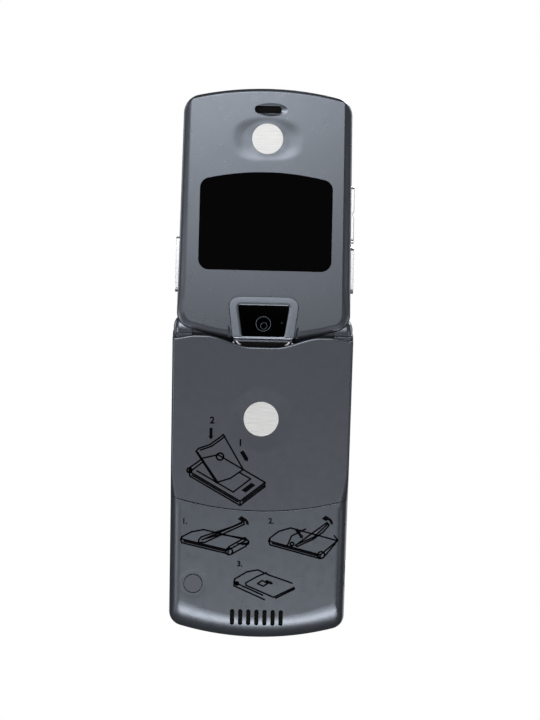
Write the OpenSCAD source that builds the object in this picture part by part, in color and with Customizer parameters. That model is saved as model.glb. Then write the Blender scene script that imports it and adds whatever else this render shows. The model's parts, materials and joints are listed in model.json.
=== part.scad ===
// A thin clamshell flip phone, open, as the separate pieces that it is assembled from.
// +Z runs up the base towards the lid, the back faces -Y, and the origin is the middle of the
// fixed flat face on the back of the base. The lid's pieces are drawn standing straight above
// the hinge axis with the outside at -Y, and in_lid() then leans them to the open angle.

/* [Hinge] */
// Height of the hinge axis above the middle of the flat back face
axis_z = 70; // [69:0.5:74]
// Angle between the keypad and the main display when the phone is open
open_angle = 165; // [155:1:172]
// Radius of the hinge barrel and of the knuckles at its ends
barrel_r = 5; // [4.8:0.1:5.6]
// Length of the knuckle at each end of the barrel
knuckle_l = 5.4; // [5:0.1:7]
// Gap between each knuckle and the end of the barrel
knuckle_gap = 0.15; // [0.1:0.05:0.3]
// Gap between the barrel and the trough that it turns in
barrel_gap = 0.3; // [0.2:0.05:0.5]
// Radius of the cam cartridge in the barrel
cartridge_r = 3.2; // [2.9:0.1:3.6]
// Length of the cam cartridge
cartridge_l = 16.5; // [12:0.5:20]
// Radius of the cartridge's shaft
shaft_r = 2.1; // [1.8:0.1:2.4]
// Outer radius of the hollow pivot at the other end
sleeve_r = 3.2; // [2.9:0.1:3.6]
// Radius of the cable passage through the hollow pivot
sleeve_bore_r = 2.4; // [2:0.1:2.5]
// Radial running clearance of both pivots
pivot_clear = 0.05; // [0.02:0.01:0.1]
// Least thickness of the lid's cover over the barrel
barrel_skin = 0.9; // [0.6:0.1:1.2]

/* [Base] */
// Width of the base at the hinge
base_w = 53; // [50:0.5:62]
// Width of the base at its bottom end
base_end_w = 52; // [49:0.5:62]
// Radius of the arc across the bottom end
base_end_r = 85; // [60:1:140]
// Radius of the bottom corners
base_corner_r = 4.5; // [3:0.5:6]
// Thickness of the base's side walls
base_wall = 1.2; // [1:0.1:1.4]
// Distance from the back to where the rear and front housings meet
base_split_y = 4.4; // [4:0.1:4.8]
// Length of the raised chin, from the closed lid to the middle of the bottom end
chin_l = 18.3; // [17.5:0.1:26]
// How far the chin stands above the keypad face
chin_rise = 4.7; // [4:0.1:5.8]
// How much thinner the chin is at its bottom edge
chin_slope = 2.6; // [1:0.1:3]
// Gap between the closed lid and the chin
tip_gap = 0.7; // [0.4:0.1:1.2]

/* [Base layers, from the back to the keypad] */
// Thickness of the battery door and of the rear skin
door_t = 0.9; // [0.8:0.1:1.1]
// Gap between the battery door and the battery
battery_gap = 0.2; // [0.1:0.05:0.4]
// Thickness of the battery pack
battery_t = 3.9; // [3.8:0.1:5]
// Thickness of the floor under the battery
floor_t = 0.6; // [0.5:0.1:1]
// Thickness of the main board
board_t = 0.7; // [0.6:0.1:1]
// Thickness of the dome sheet under the keys
dome_t = 0.2; // [0.15:0.05:0.3]
// Gap between the dome sheet and the keys' feet
key_gap = 0.35; // [0.35:0.05:0.6]
// Thickness of the keys' flanges and feet together
flange_t = 0.55; // [0.5:0.05:0.8]
// Thickness of the keypad face
face_t = 1; // [0.8:0.1:1.4]

/* [Lid] */
// Width of the lid near the hinge
lid_w = 51; // [49:0.5:52]
// Width of the lid at its tip
lid_tip_w = 50; // [48:0.5:52]
// Length of the lid from the hinge axis to the middle of its tip
lid_l = 72; // [71:0.5:80]
// Radius of the arc across the tip
lid_tip_r = 95; // [70:1:150]
// Radius of the tip's corners
lid_corner_r = 5.5; // [4.5:0.5:7]
// How far the lid's lower edge reaches past the hinge axis
lid_drop = 3.4; // [3:0.1:3.6]
// Radius of the arc across the lower edge
lid_drop_r = 74; // [60:1:100]
// Radius of the lid's lower corners
lid_foot_r = 5; // [4.5:0.5:7]
// Thickness of the lid's side walls
lid_wall = 1.2; // [1:0.1:1.4]
// Height above the hinge plane at which cover and inner frame meet
lid_split_h = 3; // [2.6:0.1:3.4]

/* [Lid layers, from the inner face outwards] */
// Gap between the lid and the keypad when the phone is closed
lid_gap = 0.4; // [0.3:0.1:0.6]
// Thickness of the inner frame's face
frame_t = 1; // [0.9:0.1:1.3]
// Thickness of the main display panel
main_panel_t = 1.4; // [1.2:0.1:2]
// Thickness of the lid's circuit board
lid_board_t = 0.6; // [0.5:0.1:1]
// Thickness of the outer display panel
outer_panel_t = 1.2; // [1:0.1:1.6]
// Thickness of the outer cover
cover_t = 1.1; // [1:0.1:1.4]
// Gap between one layer and the next
layer_gap = 0.1; // [0.05:0.05:0.2]

/* [Displays] */
// Width of the outer display window
outer_window_w = 39; // [32:0.5:40]
// Distance from the hinge axis to the window's lower edge
outer_window_s = 17.4; // [15:0.1:22]
// Height of the outer window at its middle
outer_window_l = 29.2; // [24:0.1:32]
// Radius of the arc across the outer window's top
outer_window_r = 75; // [60:1:120]
// Thickness of both display windows
window_t = 0.7; // [0.5:0.05:0.8]
// Width of the main display window
main_window_w = 40; // [36:0.5:41]
// Distance from the hinge axis to the main window's lower edge
main_window_s = 12; // [10:0.5:14]
// Height of the main display window
main_window_l = 46; // [40:0.5:46.5]
// Width of the ledge that each window sits on
window_ledge = 1.4; // [1:0.1:2]
// Clearance around the windows and other set-in pieces
fit_gap = 0.1; // [0.05:0.05:0.2]

/* [Camera] */
// How far the camera surround stands proud of the cover
surround_proud = 0.6; // [0.3:0.1:0.8]
// Width of the camera surround at its top
surround_w = 20.6; // [19:0.2:22]
// Width of the camera surround at its lower edge
surround_foot_w = 18.4; // [17:0.2:19]
// Distance from the hinge axis to the surround's top
surround_s = 9.6; // [9:0.1:10]
// Radius of the surround's rounded lower edge
surround_edge_r = 1.6; // [1:0.1:1.8]
// Width of the camera window at its top
camera_window_w = 14.8; // [13:0.2:16]
// Width of the camera window at its lower edge
camera_window_foot_w = 12.3; // [11:0.1:13]
// Side of the square camera module
camera_w = 7; // [6:0.1:7.4]
// Radius of the camera's lens barrel
lens_r = 2.3; // [1.8:0.1:2.6]

/* [Side keys] */
// Distance from the hinge axis to the middle of the volume rocker
rocker_s = 35; // [33.5:0.5:37]
// Length of the volume rocker
rocker_l = 17.2; // [14:0.2:18]
// Distance from the hinge axis to the middle of the smart key
smart_s = 18.4; // [16:0.1:18.5]
// Length of the smart key
smart_l = 13.8; // [10:0.2:14]
// Distance from the hinge axis to the middle of the voice key
voice_s = 19.1; // [17:0.1:24]
// Length of the voice key
voice_l = 16.4; // [12:0.2:16.4]
// Width of the side keys across the lid's edge
side_key_w = 2.2; // [1.8:0.1:2.4]
// How far the side keys stand proud
side_key_proud = 0.8; // [0.5:0.1:1]
// Clearance around the side keys
side_key_gap = 0.15; // [0.1:0.05:0.2]

/* [Badges and sound slots] */
// Diameter of the badge disc on the lid
lid_badge_d = 9.2; // [7:0.1:11]
// Distance from the hinge axis to the middle of the lid's badge
lid_badge_s = 56.7; // [54:0.1:57.5]
// Diameter of the badge disc on the battery door
door_badge_d = 10.3; // [8:0.1:12]
// Distance from the hinge axis to the middle of the door's badge
door_badge_s = 24.7; // [22:0.1:32]
// Thickness of both badge discs
badge_t = 0.4; // [0.3:0.05:0.45]
// Length of the sound slot near the lid's tip
lid_slot_w = 8; // [6:0.1:9]
// Height of the sound slot near the lid's tip
lid_slot_h = 1.8; // [1.2:0.1:2]
// Distance from the hinge axis to the sound slot
lid_slot_s = 65.6; // [65:0.1:66]
// Number of speaker slots
speaker_slots = 7; // [5:1:8]
// Distance between the speaker slots
speaker_pitch = 2.4; // [2:0.1:2.4]
// Width of one speaker slot
speaker_slot_w = 1.25; // [0.8:0.05:1.4]
// Length of one speaker slot
speaker_slot_l = 4.85; // [4:0.05:5]

/* [Battery door] */
// Distance from the hinge axis to the middle of the door's lower edge
door_l = 52.1; // [51:0.1:54]
// Radius of the arc along the door's lower edge
seam_r = 90; // [80:1:120]
// Gap along the door's edges
seam_gap = 0.15; // [0.1:0.05:0.3]
// How far the door's top edge dips below the hinge axis in the middle
door_dip = 4.2; // [4:0.1:4.6]
// How far the door's top edge lies below the hinge axis at its ends
door_top_gap = 0.3; // [0.2:0.1:0.6]
// Half the width of the dip
door_dip_half = 20; // [18:0.5:20.5]
// Thickness of the door's side rails
rail_t = 0.9; // [0.7:0.1:1]
// Depth of the side rails, from the back
rail_y = 3; // [2.4:0.1:3.2]

/* [Keypad] */
// Width of a digit key
key_w = 14.6; // [12:0.2:14.8]
// Height of a digit key
key_h = 6.6; // [6:0.2:6.8]
// Width of the bars between the columns of digit keys
key_bar_x = 0.8; // [0.7:0.1:1.2]
// Height of the bars between the rows of digit keys
key_bar_z = 0.9; // [0.7:0.1:1]
// Distance from the hinge axis to the lowest row of digit keys
key_last_row = 65; // [62:0.5:65.5]
// Clearance around the keys
key_clear = 0.15; // [0.1:0.05:0.2]
// How far a key's flange reaches under the keypad face
flange_w = 0.3; // [0.2:0.05:0.3]
// How far the keys lie below the keypad face
key_sink = 0.1; // [0.05:0.05:0.2]
// Outer radius of the four-way ring
ring_r = 10.4; // [9.5:0.1:10.6]
// Radius of the centre key
centre_key_r = 4.8; // [4:0.1:5]
// Distance from the hinge axis to the middle of the four-way ring
ring_s = 20; // [19:0.5:21]

/* [Hidden] */
$fn = 48;
in = 0.01;

// Layers of the base, from the back to the keypad.
battery_y0 = door_t + battery_gap;
battery_y1 = battery_y0 + battery_t;
floor_y0 = battery_y1 + layer_gap;
floor_y1 = floor_y0 + floor_t;
board_y0 = floor_y1 + layer_gap;
board_y1 = board_y0 + board_t;
dome_y1 = board_y1 + dome_t;
flange_y0 = dome_y1 + key_gap;
flange_y1 = flange_y0 + flange_t;
face_y0 = flange_y1 + layer_gap;
base_t = face_y0 + face_t;
chin_t = base_t + chin_rise;
axis_y = base_t + lid_gap / 2;
lean = 180 - open_angle;

// Layers of the lid, as heights above the hinge plane.
frame_h0 = lid_gap / 2;
frame_h1 = frame_h0 + frame_t;
main_h0 = frame_h1 + layer_gap;
main_h1 = main_h0 + main_panel_t;
lid_board_h0 = main_h1 + layer_gap;
lid_board_h1 = lid_board_h0 + lid_board_t;
outer_h0 = lid_board_h1 + layer_gap;
outer_h1 = outer_h0 + outer_panel_t;
cover_h1 = max(outer_h1 + layer_gap + cover_t, barrel_r + barrel_skin);
cover_h0 = cover_h1 - cover_t;
surround_h = cover_h1 + surround_proud;

// The hinge line, from one side to the other. The shaft is fixed in the left knuckle, and the
// hollow pivot in the right one.
knuckle_x1 = base_w / 2 - 0.2;
knuckle_x0 = knuckle_x1 - knuckle_l;
knuckle_edge_r = 2;
barrel_half = knuckle_x0 - knuckle_gap;
lug_gap = 0.15;
shaft_seat = 3.5;
shaft_end_gap = 2;
cartridge_end_t = 2;
sleeve_in = 7;
sleeve_x1 = knuckle_x1 - 2.5;
sweep_r = surround_edge_r + 0.3
    + norm([surround_h - surround_edge_r, lid_drop + 0.2 - surround_edge_r]);
sweep_z = axis_z - 3.4;

// The cable through the hollow pivot: a roll, a tail to each board and the room around them.
foil_t = 0.2;
roll_r = sleeve_bore_r - 0.2;
roll_x0 = 6;
cable_w = 5;
cable_h = roll_r - 0.2;
cable_s = 7.9;
cable_lap = 4;
cable_clear = 0.2;
base_tail_w = 0.9;
base_tail_y0 = axis_y - 1.9;

// Outlines of the base.
seam_z = axis_z - door_l;
door_top_z = axis_z - door_top_gap;
dip_depth = door_dip - door_top_gap;
dip_r = (door_dip_half ^ 2 + dip_depth ^ 2) / (2 * dip_depth);
tip_arc_z = axis_z - lid_l + lid_tip_r;
chin_z1 = axis_z - lid_l - tip_gap;
base_l = lid_l + tip_gap + chin_l;
base_bottom_z = axis_z - base_l;
hollow_top_z = axis_z - 8;

// The battery bay, with its card slot at the lower end and its contacts at the upper end.
bay_z0 = seam_z + 3;
bay_z1 = axis_z - 9.4;
bay_half = 17.4;
bay_gap = 0.25;
bay_wall = 2.5;
card_w = 11;
card_l = 15;
card_t = 0.8;
card_y0 = 3.3;
contacts_half = 4.2;
contacts_y0 = 2.8;
contact_pitch = 2.5;

// Screws of the base. The hollows beside the bay lie between them.
screw_r = 0.7;
screw_head_r = 1.3;
screw_head_t = 0.8;
screw_seat_y = 2.9;
boss_r = 1.6;
boss_clear = 0.2;
hole_clear = 0.05;
base_screw_x = base_w / 2 - 5.2;
base_screw_z0 = axis_z - 35.6;
base_screw_z1 = axis_z - 20.4;
base_screws_xz = [for (x = [-1, 1], z = [base_screw_z0, base_screw_z1]) [x * base_screw_x, z]];
side_hollow_w = 2.8;
side_hollow_y0 = 2.2;

// Screws of the lid, each under a bumper.
lid_foot_s = 9;
tip_screw_x = lid_tip_w / 2 - 4.7;
tip_screw_s = lid_l - 7.2;
foot_screw_x = lid_w / 2 - 3.8;
foot_screw_s = lid_foot_s + 0.6;
lid_screws_xs = [for (x = [-1, 1]) each [[x * tip_screw_x, tip_screw_s],
                                         [x * foot_screw_x, foot_screw_s]]];
bumper_r = 2;
bumper_depth = 0.3;
bumper_proud = 0.3;
lid_head_h1 = frame_h0 + bumper_depth + 0.3;

// Camera, earpiece and motor.
camera_s0 = -2;
camera_h0 = 0.6;
camera_h1 = cover_h0 + 0.1;
lens_s = camera_s0 + camera_w / 2;
camera_window_s0 = -2.1;
camera_window_s1 = 6.9;
camera_window_sink = 0.1;
surround_corner_r = 3;
surround_foot_s = -lid_drop - 0.2;
ear_w = 12;
ear_h = 6.4;
ear_mesh_w = 11;
ear_mesh_h = 4;
mesh_t = 0.2;
motor_r = 3.8;
motor_x = 12.6;
motor_s = lid_slot_s - 2.6;

// The chin: loudspeaker, antenna, microphone, socket and test port.
usb_z = -0.9;
usb_w = 7.7;
usb_t = 3.9;
usb_l = 8.6;
usb_y0 = board_y0 - usb_t;
usb_clear = 0.15;
plug_x = -19;
plug_z = chin_z1 - 1.7;
plug_r = 2.7;
speaker_z = base_bottom_z + 6.7;
speaker_w = 18;
speaker_h = 7.8;
speaker_y1 = 3.9;
antenna_y1 = chin_t - chin_slope - base_wall;
mic_r = 2;
mic_z = base_bottom_z + 4.4;
mic_hole_r = 0.5;

// The battery door's latch and tabs.
latch_half = 9;
latch_y0 = door_t + 0.05;
latch_y1 = latch_y0 + 0.75;
latch_z0 = axis_z - 3.9;
latch_z1 = axis_z - 1.9;
latch_travel = 0.8;
latch_clear = 0.2;
tongue_half = 6;
tongue_z0 = axis_z - 7.6;
tongue_y1 = latch_y1 + 0.5;
tab_x = 8;
tab_w = 5;
tab_t = 0.8;
tab_drop = 2;
tab_clear = 0.3;

// Side keys, badges and dishes.
side_key_h = 3;
side_flange_t = 0.5;
side_flange_out = 0.4;
slot_dish_w = 10;
slot_dish_h = 4;
door_dish_r = 9.4;
dish_depth = 0.25;

// The keys around the ring.
soft_x = 17.6;
soft_w = 10.6;
soft_h = 7.6;
soft_z = axis_z - 12.6;
call_z = axis_z - 28.2;
clear_z = axis_z - 34;
clear_w = 9;
clear_h = 4.2;
ring_z = axis_z - ring_s;
corner_gap = 0.6;
key_foot_r = 1.4;
key_foot_t = 0.2;
ring_bore_gap = 0.3;
ring_flange_t = 0.2;
centre_flange_w = 0.45;
pad_r = 7;
pad_t = 0.25;
pad_clear = 0.3;

DIGITS = ["1", "2", "3", "4", "5", "6", "7", "8", "9", "star", "0", "hash"];

// ---- shapes that repeat ----

// An outline in X and Z, made solid from y0 to y1.
module slab(y0, y1) {
    translate([0, y1, 0]) rotate([90, 0, 0]) linear_extrude(y1 - y0) children();
}

// The same on the lid, between two heights above the hinge plane.
module lid_slab(h0, h1) {
    slab(-h1, -h0) children();
}

// An outline in Y and Z, made solid from x0 to x1.
module bar(x0, x1) {
    translate([x0, 0, 0]) rotate([90, 0, 90]) linear_extrude(x1 - x0) children();
}

module rod(r, x0, x1) {
    translate([x0, 0, 0]) rotate([0, 90, 0]) cylinder(r = r, h = x1 - x0);
}

// A round piece that stands on the back or front, from y0 to y1.
module stud(r, x, z, y0, y1) {
    translate([x, y1, z]) rotate([90, 0, 0]) cylinder(r = r, h = y1 - y0);
}

module block(x0, x1, y0, y1, z0, z1) {
    translate([x0, y0, z0]) cube([x1 - x0, y1 - y0, z1 - z0]);
}

module rounded_rect(w, h, r) {
    square([w - 2 * r, h], center = true);
    square([w, h - 2 * r], center = true);
    for (x = [-1, 1], z = [-1, 1]) translate([x * (w / 2 - r), z * (h / 2 - r)]) circle(r);
}

module in_lid() {
    translate([0, axis_y, axis_z]) rotate([-lean, 0, 0]) children();
}

module at_axis() {
    translate([0, axis_y, axis_z]) children();
}

// One rounded end of a housing, which narrows from near to the tip and ends in an arc. The
// corners stand proud of the arc by a hair, so that the curves cross instead of touching.
module end_outline(w_tip, w_near, near, tip, arc_r, corner_r) {
    arc_z = tip - arc_r;
    corner_x = w_tip / 2 - corner_r;
    corner_z = arc_z + sqrt((arc_r - corner_r) ^ 2 - corner_x ^ 2) + in;
    meet_x = corner_x * arc_r / (arc_r - corner_r);
    polygon([[-w_near / 2, near], [w_near / 2, near], [w_tip / 2, corner_z],
             [-w_tip / 2, corner_z]]);
    for (x = [-1, 1]) translate([x * corner_x, corner_z]) circle(corner_r);
    intersection() {
        translate([0, arc_z]) circle(arc_r);
        translate([-meet_x, near]) square([2 * meet_x, tip - near]);
    }
}

// ---- outlines of the base ----

module base_outline(inset = 0) {
    translate([0, axis_z]) mirror([0, 1])
        end_outline(base_end_w - 2 * inset, base_w - 2 * inset, 0, base_l - inset,
                    base_end_r - inset, base_corner_r - inset);
}

module above_seam(grow = 0) {
    translate([0, seam_z + seam_r]) circle(seam_r + grow);
}

module below_top(inset = 0) {
    difference() {
        translate([-base_w, base_bottom_z]) square([2 * base_w, door_top_z - base_bottom_z]);
        translate([0, axis_z - door_dip + dip_r]) circle(dip_r + inset);
    }
}

module below_tip(grow = 0) {
    difference() {
        translate([-base_w, base_bottom_z - 1]) square([2 * base_w, lid_l]);
        translate([0, tip_arc_z]) circle(lid_tip_r + tip_gap + grow);
    }
}

// Side view of the raised chin, in Y and Z.
module chin_profile(inset = 0) {
    top_z = axis_z - lid_l + 6;
    bend_z = chin_z1 - 1;
    polygon([[face_y0 - in, base_bottom_z - 1], [face_y0 - in, top_z], [chin_t - inset, top_z],
             [chin_t - inset, bend_z], [chin_t - chin_slope - inset, base_bottom_z - 1]]);
}

// The space that the hinge barrel and the lid's lower edge turn in.
module barrel_room() {
    half = barrel_half + knuckle_gap;
    at_axis() rod(barrel_r + barrel_gap, -half, half);
    intersection() {
        at_axis() rod(sweep_r, -half, half);
        block(-half, half, 0, axis_y, sweep_z, axis_z + sweep_r);
    }
}

// ---- outlines of the lid ----

module lid_outline(inset = 0) {
    end_outline(lid_tip_w - 2 * inset, lid_w - 2 * inset, lid_foot_s, lid_l - inset,
                lid_tip_r - inset, lid_corner_r - inset);
    mirror([0, 1])
        end_outline(lid_w - 2 * inset, lid_w - 2 * inset, -lid_foot_s, lid_drop - inset,
                    lid_drop_r - inset, lid_foot_r - inset);
}

function lid_half(s) = lid_w / 2 - (lid_w - lid_tip_w) / 2 * (s - lid_foot_s)
    / (lid_l - lid_foot_s - lid_corner_r);

module outer_window_outline(grow = 0) {
    corner = 3;
    middle = outer_window_s + outer_window_l / 3;
    end_outline(outer_window_w + 2 * grow, outer_window_w + 2 * grow, middle,
                outer_window_s + outer_window_l + grow, outer_window_r + grow, corner + grow);
    half_l = outer_window_l / 2;
    translate([0, outer_window_s + half_l / 2])
        rounded_rect(outer_window_w + 2 * grow, half_l + 2 * grow, corner + grow);
}

module main_window_outline(grow = 0) {
    translate([0, main_window_s + main_window_l / 2])
        rounded_rect(main_window_w + 2 * grow, main_window_l + 2 * grow, 2 + grow);
}

// The camera surround narrows towards the hinge and has rounded upper corners.
module surround_outline(grow = 0) {
    top_w = surround_w + 2 * grow;
    foot_w = surround_foot_w + 2 * grow;
    foot_s = surround_foot_s - grow;
    corner_s = surround_s + grow - surround_corner_r;
    polygon([[-foot_w / 2, foot_s], [foot_w / 2, foot_s], [top_w / 2, corner_s],
             [-top_w / 2, corner_s]]);
    translate([0, corner_s - surround_corner_r])
        rounded_rect(top_w, 4 * surround_corner_r, surround_corner_r);
}

module camera_window_outline(grow = 0) {
    foot_x = camera_window_foot_w / 2 + grow;
    top_x = camera_window_w / 2 + grow;
    polygon([[-foot_x, camera_window_s0 - grow], [foot_x, camera_window_s0 - grow],
             [top_x, camera_window_s1 + grow], [-top_x, camera_window_s1 + grow]]);
}

// Side view of the camera surround, in Y and Z, with its lower outer edge rounded.
module surround_profile() {
    edge_s = surround_foot_s + surround_edge_r;
    translate([-surround_h, edge_s]) square([surround_h, surround_s - edge_s]);
    translate([-surround_h + surround_edge_r, surround_foot_s])
        square([surround_h - surround_edge_r, surround_edge_r + in]);
    translate([-surround_h + surround_edge_r, edge_s]) circle(surround_edge_r);
}

// Room around the knuckles, which the lid's corners turn about.
module knuckle_room() {
    for (side = [0, 1])
        mirror([side, 0, 0]) rod(barrel_r + lug_gap, barrel_half, base_w);
}

// Room for the camera module, between two heights above the hinge plane.
module camera_room(h0, h1) {
    half = camera_w / 2 + fit_gap;
    block(-half, half, -h1, -h0, camera_s0 - fit_gap, camera_s0 + camera_w + fit_gap);
}

module side_key_shape(length, grow = 0) {
    r = side_key_w / 2 + grow;
    half = length / 2 - side_key_w / 2;
    translate([-side_key_h, 0]) {
        square([2 * r, 2 * half], center = true);
        for (z = [-1, 1]) translate([0, z * half]) circle(r);
    }
}

module side_key_openings() {
    bar(lid_w / 4, lid_w) {
        translate([0, rocker_s]) side_key_shape(rocker_l, side_key_gap);
        translate([0, smart_s]) side_key_shape(smart_l, side_key_gap);
    }
    bar(-lid_w, -lid_w / 4)
        translate([0, voice_s]) side_key_shape(voice_l, side_key_gap);
}

// ---- lid ----

module lid_outer_cover() {
    color([0.47, 0.49, 0.53]) in_lid() {
        difference() {
            lid_slab(lid_split_h, cover_h1) lid_outline();
            lid_slab(lid_split_h - 1, cover_h0) lid_outline(lid_wall);
            lid_slab(cover_h1 - window_t - in, cover_h1 + 1) outer_window_outline(fit_gap);
            lid_slab(cover_h0 - 1, cover_h1 + 1) outer_window_outline(-window_ledge);
            lid_slab(0, cover_h1 + 1) surround_outline(fit_gap);
            rod(barrel_r + hole_clear, -lid_w, lid_w);
            knuckle_room();
            lid_slab(cover_h0 - 1, cover_h1 + 1) translate([0, lid_slot_s])
                rounded_rect(lid_slot_w, lid_slot_h, lid_slot_h / 2 - in);
            lid_slab(cover_h1 - dish_depth, cover_h1 + 1) translate([0, lid_slot_s])
                rounded_rect(slot_dish_w, slot_dish_h, slot_dish_h / 2 - in);
            stud(lid_badge_d / 2 + hole_clear, 0, lid_badge_s, -cover_h1 - 1,
                 -cover_h1 + badge_t);
            side_key_openings();
        }
        for (p = lid_screws_xs) difference() {
            stud(boss_r, p[0], p[1], -cover_h0 - in, -frame_h1);
            stud(screw_r + hole_clear, p[0], p[1], -cover_h0 + 0.4, 0);
        }
    }
}

module lid_inner_frame() {
    color([0.27, 0.29, 0.33]) in_lid() difference() {
        union() {
            difference() {
                lid_slab(frame_h0, lid_split_h) lid_outline();
                lid_slab(frame_h1, lid_split_h + 1) lid_outline(lid_wall);
                side_key_openings();
            }
            rod(barrel_r, -barrel_half, barrel_half);
        }
        knuckle_room();
        lid_slab(frame_h0 - 1, frame_h0 + window_t + in) main_window_outline(fit_gap);
        lid_slab(frame_h0 - 1, frame_h1 + 1) main_window_outline(-window_ledge);
        // Bores for the cartridge and the hollow pivot, and the pocket for the camera.
        rod(cartridge_r + pivot_clear, -barrel_half - 1, -barrel_half + cartridge_l + in);
        rod(sleeve_r + pivot_clear, camera_w / 2 + 1.2, barrel_half + 1);
        camera_room(camera_h0 - 2 * fit_gap, barrel_r + 1);
        // The cable leaves the barrel through a slot and runs up to the board.
        block(roll_x0 - cable_clear, roll_x0 + cable_w + cable_clear, -lid_board_h0 - cable_clear,
              -cable_h + cable_clear, 0, cable_s + fit_gap);
        lid_slab(frame_h0 - 1, frame_h1 + 1) translate([0, lid_slot_s])
            rounded_rect(lid_slot_w + 1, lid_slot_h, lid_slot_h / 2 - in);
        for (p = lid_screws_xs) {
            stud(bumper_r + hole_clear, p[0], p[1], -frame_h0 - bumper_depth, 1);
            stud(screw_head_r + hole_clear, p[0], p[1], -lid_head_h1, 1);
            stud(screw_r + hole_clear, p[0], p[1], -frame_h1 - 1, 1);
        }
    }
}

module outer_display_window() {
    color([0.03, 0.03, 0.04]) in_lid()
        lid_slab(cover_h1 - window_t, cover_h1) outer_window_outline();
}

module outer_display_panel() {
    color([0.55, 0.6, 0.62]) in_lid() lid_slab(outer_h0, outer_h1)
        translate([0, outer_window_s + outer_window_l / 2 - 1])
            rounded_rect(outer_window_w - 3, outer_window_l - 3.2, 0.5);
}

module main_display_window() {
    color([0.05, 0.05, 0.06]) in_lid()
        lid_slab(frame_h0, frame_h0 + window_t) main_window_outline();
}

module main_display_panel() {
    color([0.6, 0.64, 0.66]) in_lid() lid_slab(main_h0, main_h1)
        translate([0, main_window_s + main_window_l / 2])
            rounded_rect(main_window_w - 1, main_window_l - 1, 0.5);
}

module camera_surround() {
    lens_hole_r = lens_r + 0.6;
    color([0.42, 0.45, 0.49]) in_lid() difference() {
        intersection() {
            lid_slab(lid_split_h, surround_h) surround_outline();
            bar(-surround_w, surround_w) surround_profile();
        }
        rod(barrel_r + hole_clear, -lid_w, lid_w);
        camera_room(0, camera_h1 + fit_gap);
        lid_slab(surround_h - window_t - 2 * camera_window_sink, surround_h + 1)
            camera_window_outline(fit_gap);
        stud(lens_hole_r, 0, lens_s, -surround_h - 1, 0);
        // The flex tail and the lid board pass under the surround.
        lid_slab(0, cover_h0) translate([-surround_w, camera_s0 + camera_w + 0.4])
            square([2 * surround_w, surround_s]);
    }
}

module camera_window() {
    color([0.02, 0.02, 0.03]) in_lid()
        lid_slab(surround_h - window_t - camera_window_sink, surround_h - camera_window_sink)
            camera_window_outline();
}

module camera_module() {
    color([0.12, 0.12, 0.13]) in_lid() {
        block(-camera_w / 2, camera_w / 2, -camera_h1, -camera_h0, camera_s0,
              camera_s0 + camera_w);
        stud(lens_r, 0, lens_s, -surround_h + window_t + 3 * camera_window_sink,
             -camera_h1 + in);
    }
}

module earpiece() {
    color([0.2, 0.2, 0.22]) in_lid() lid_slab(frame_h1 + mesh_t, cover_h0 - mesh_t)
        translate([0, lid_slot_s]) rounded_rect(ear_w, ear_h, 1.2);
}

module earpiece_meshes() {
    color([0.1, 0.1, 0.1]) in_lid() {
        lid_slab(cover_h0 - mesh_t, cover_h0) translate([0, lid_slot_s])
            rounded_rect(ear_mesh_w, ear_mesh_h, 1);
        lid_slab(frame_h1, frame_h1 + mesh_t) translate([0, lid_slot_s])
            rounded_rect(ear_mesh_w, ear_mesh_h, 1);
    }
}

module lid_badge_disc() {
    color([0.8, 0.8, 0.8]) in_lid()
        stud(lid_badge_d / 2, 0, lid_badge_s, -cover_h1, -cover_h1 + badge_t);
}

// The board with its three side key switches and the connector for the flex cable.
module lid_board() {
    half = lid_half(rocker_s + rocker_l / 2) - lid_wall - fit_gap - side_flange_t - 0.4;
    switch_t = 1.2;
    switch_w = 3;
    s0 = surround_s + 0.8;
    s1 = main_window_s + main_window_l - 1.5;
    color([0.12, 0.35, 0.22]) in_lid() {
        difference() {
            lid_slab(lid_board_h0, lid_board_h1) translate([-half + switch_t, s0])
                square([2 * (half - switch_t), s1 - s0]);
            for (p = lid_screws_xs)
                stud(boss_r + boss_clear, p[0], p[1], -lid_board_h1 - 1, 0);
        }
        for (place = [[0, rocker_s - rocker_l / 3], [0, rocker_s + rocker_l / 3], [0, smart_s],
                      [1, voice_s]])
            mirror([place[0], 0, 0])
                block(half - switch_t, half, -lid_board_h1 - 0.4, -lid_board_h0 + 0.4,
                      place[1] - switch_w / 2, place[1] + switch_w / 2);
    }
}

module lid_screws() {
    color([0.55, 0.55, 0.57]) in_lid() for (p = lid_screws_xs) {
        stud(screw_head_r, p[0], p[1], -lid_head_h1, -frame_h0 - bumper_depth);
        stud(screw_r, p[0], p[1], -cover_h0 + 0.5, -lid_head_h1 + in);
    }
}

module lid_bumpers() {
    color([0.08, 0.08, 0.08]) in_lid() for (p = lid_screws_xs)
        stud(bumper_r, p[0], p[1], -frame_h0 - bumper_depth, -frame_h0 + bumper_proud);
}

module vibration_motor() {
    color([0.75, 0.75, 0.77]) in_lid()
        stud(motor_r, motor_x, motor_s, -cover_h0 + layer_gap, -main_h0);
}

module hinge_cartridge() {
    color([0.6, 0.6, 0.62]) in_lid() difference() {
        rod(cartridge_r, -barrel_half, -barrel_half + cartridge_l);
        rod(shaft_r + pivot_clear, -barrel_half - 1,
            -barrel_half + cartridge_l - cartridge_end_t);
    }
}

// The rolled part of the cable lies in the hollow pivot, and its tail runs to the lid board.
module hinge_flex_cable() {
    x0 = roll_x0;
    x1 = roll_x0 + cable_w;
    bend_s = cable_s - foil_t;
    color([0.8, 0.5, 0.2]) in_lid() {
        difference() {
            rod(roll_r, x0, sleeve_x1 - fit_gap);
            rod(roll_r - foil_t, x0 - 1, base_w / 2);
        }
        block(x0, x1, -cable_h - foil_t, -cable_h, 0, cable_s);
        block(x0, x1, -lid_board_h0, -cable_h, bend_s, cable_s);
        block(x0, x1, -lid_board_h0, -lid_board_h0 + foil_t, bend_s, cable_s + cable_lap);
    }
}

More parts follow.
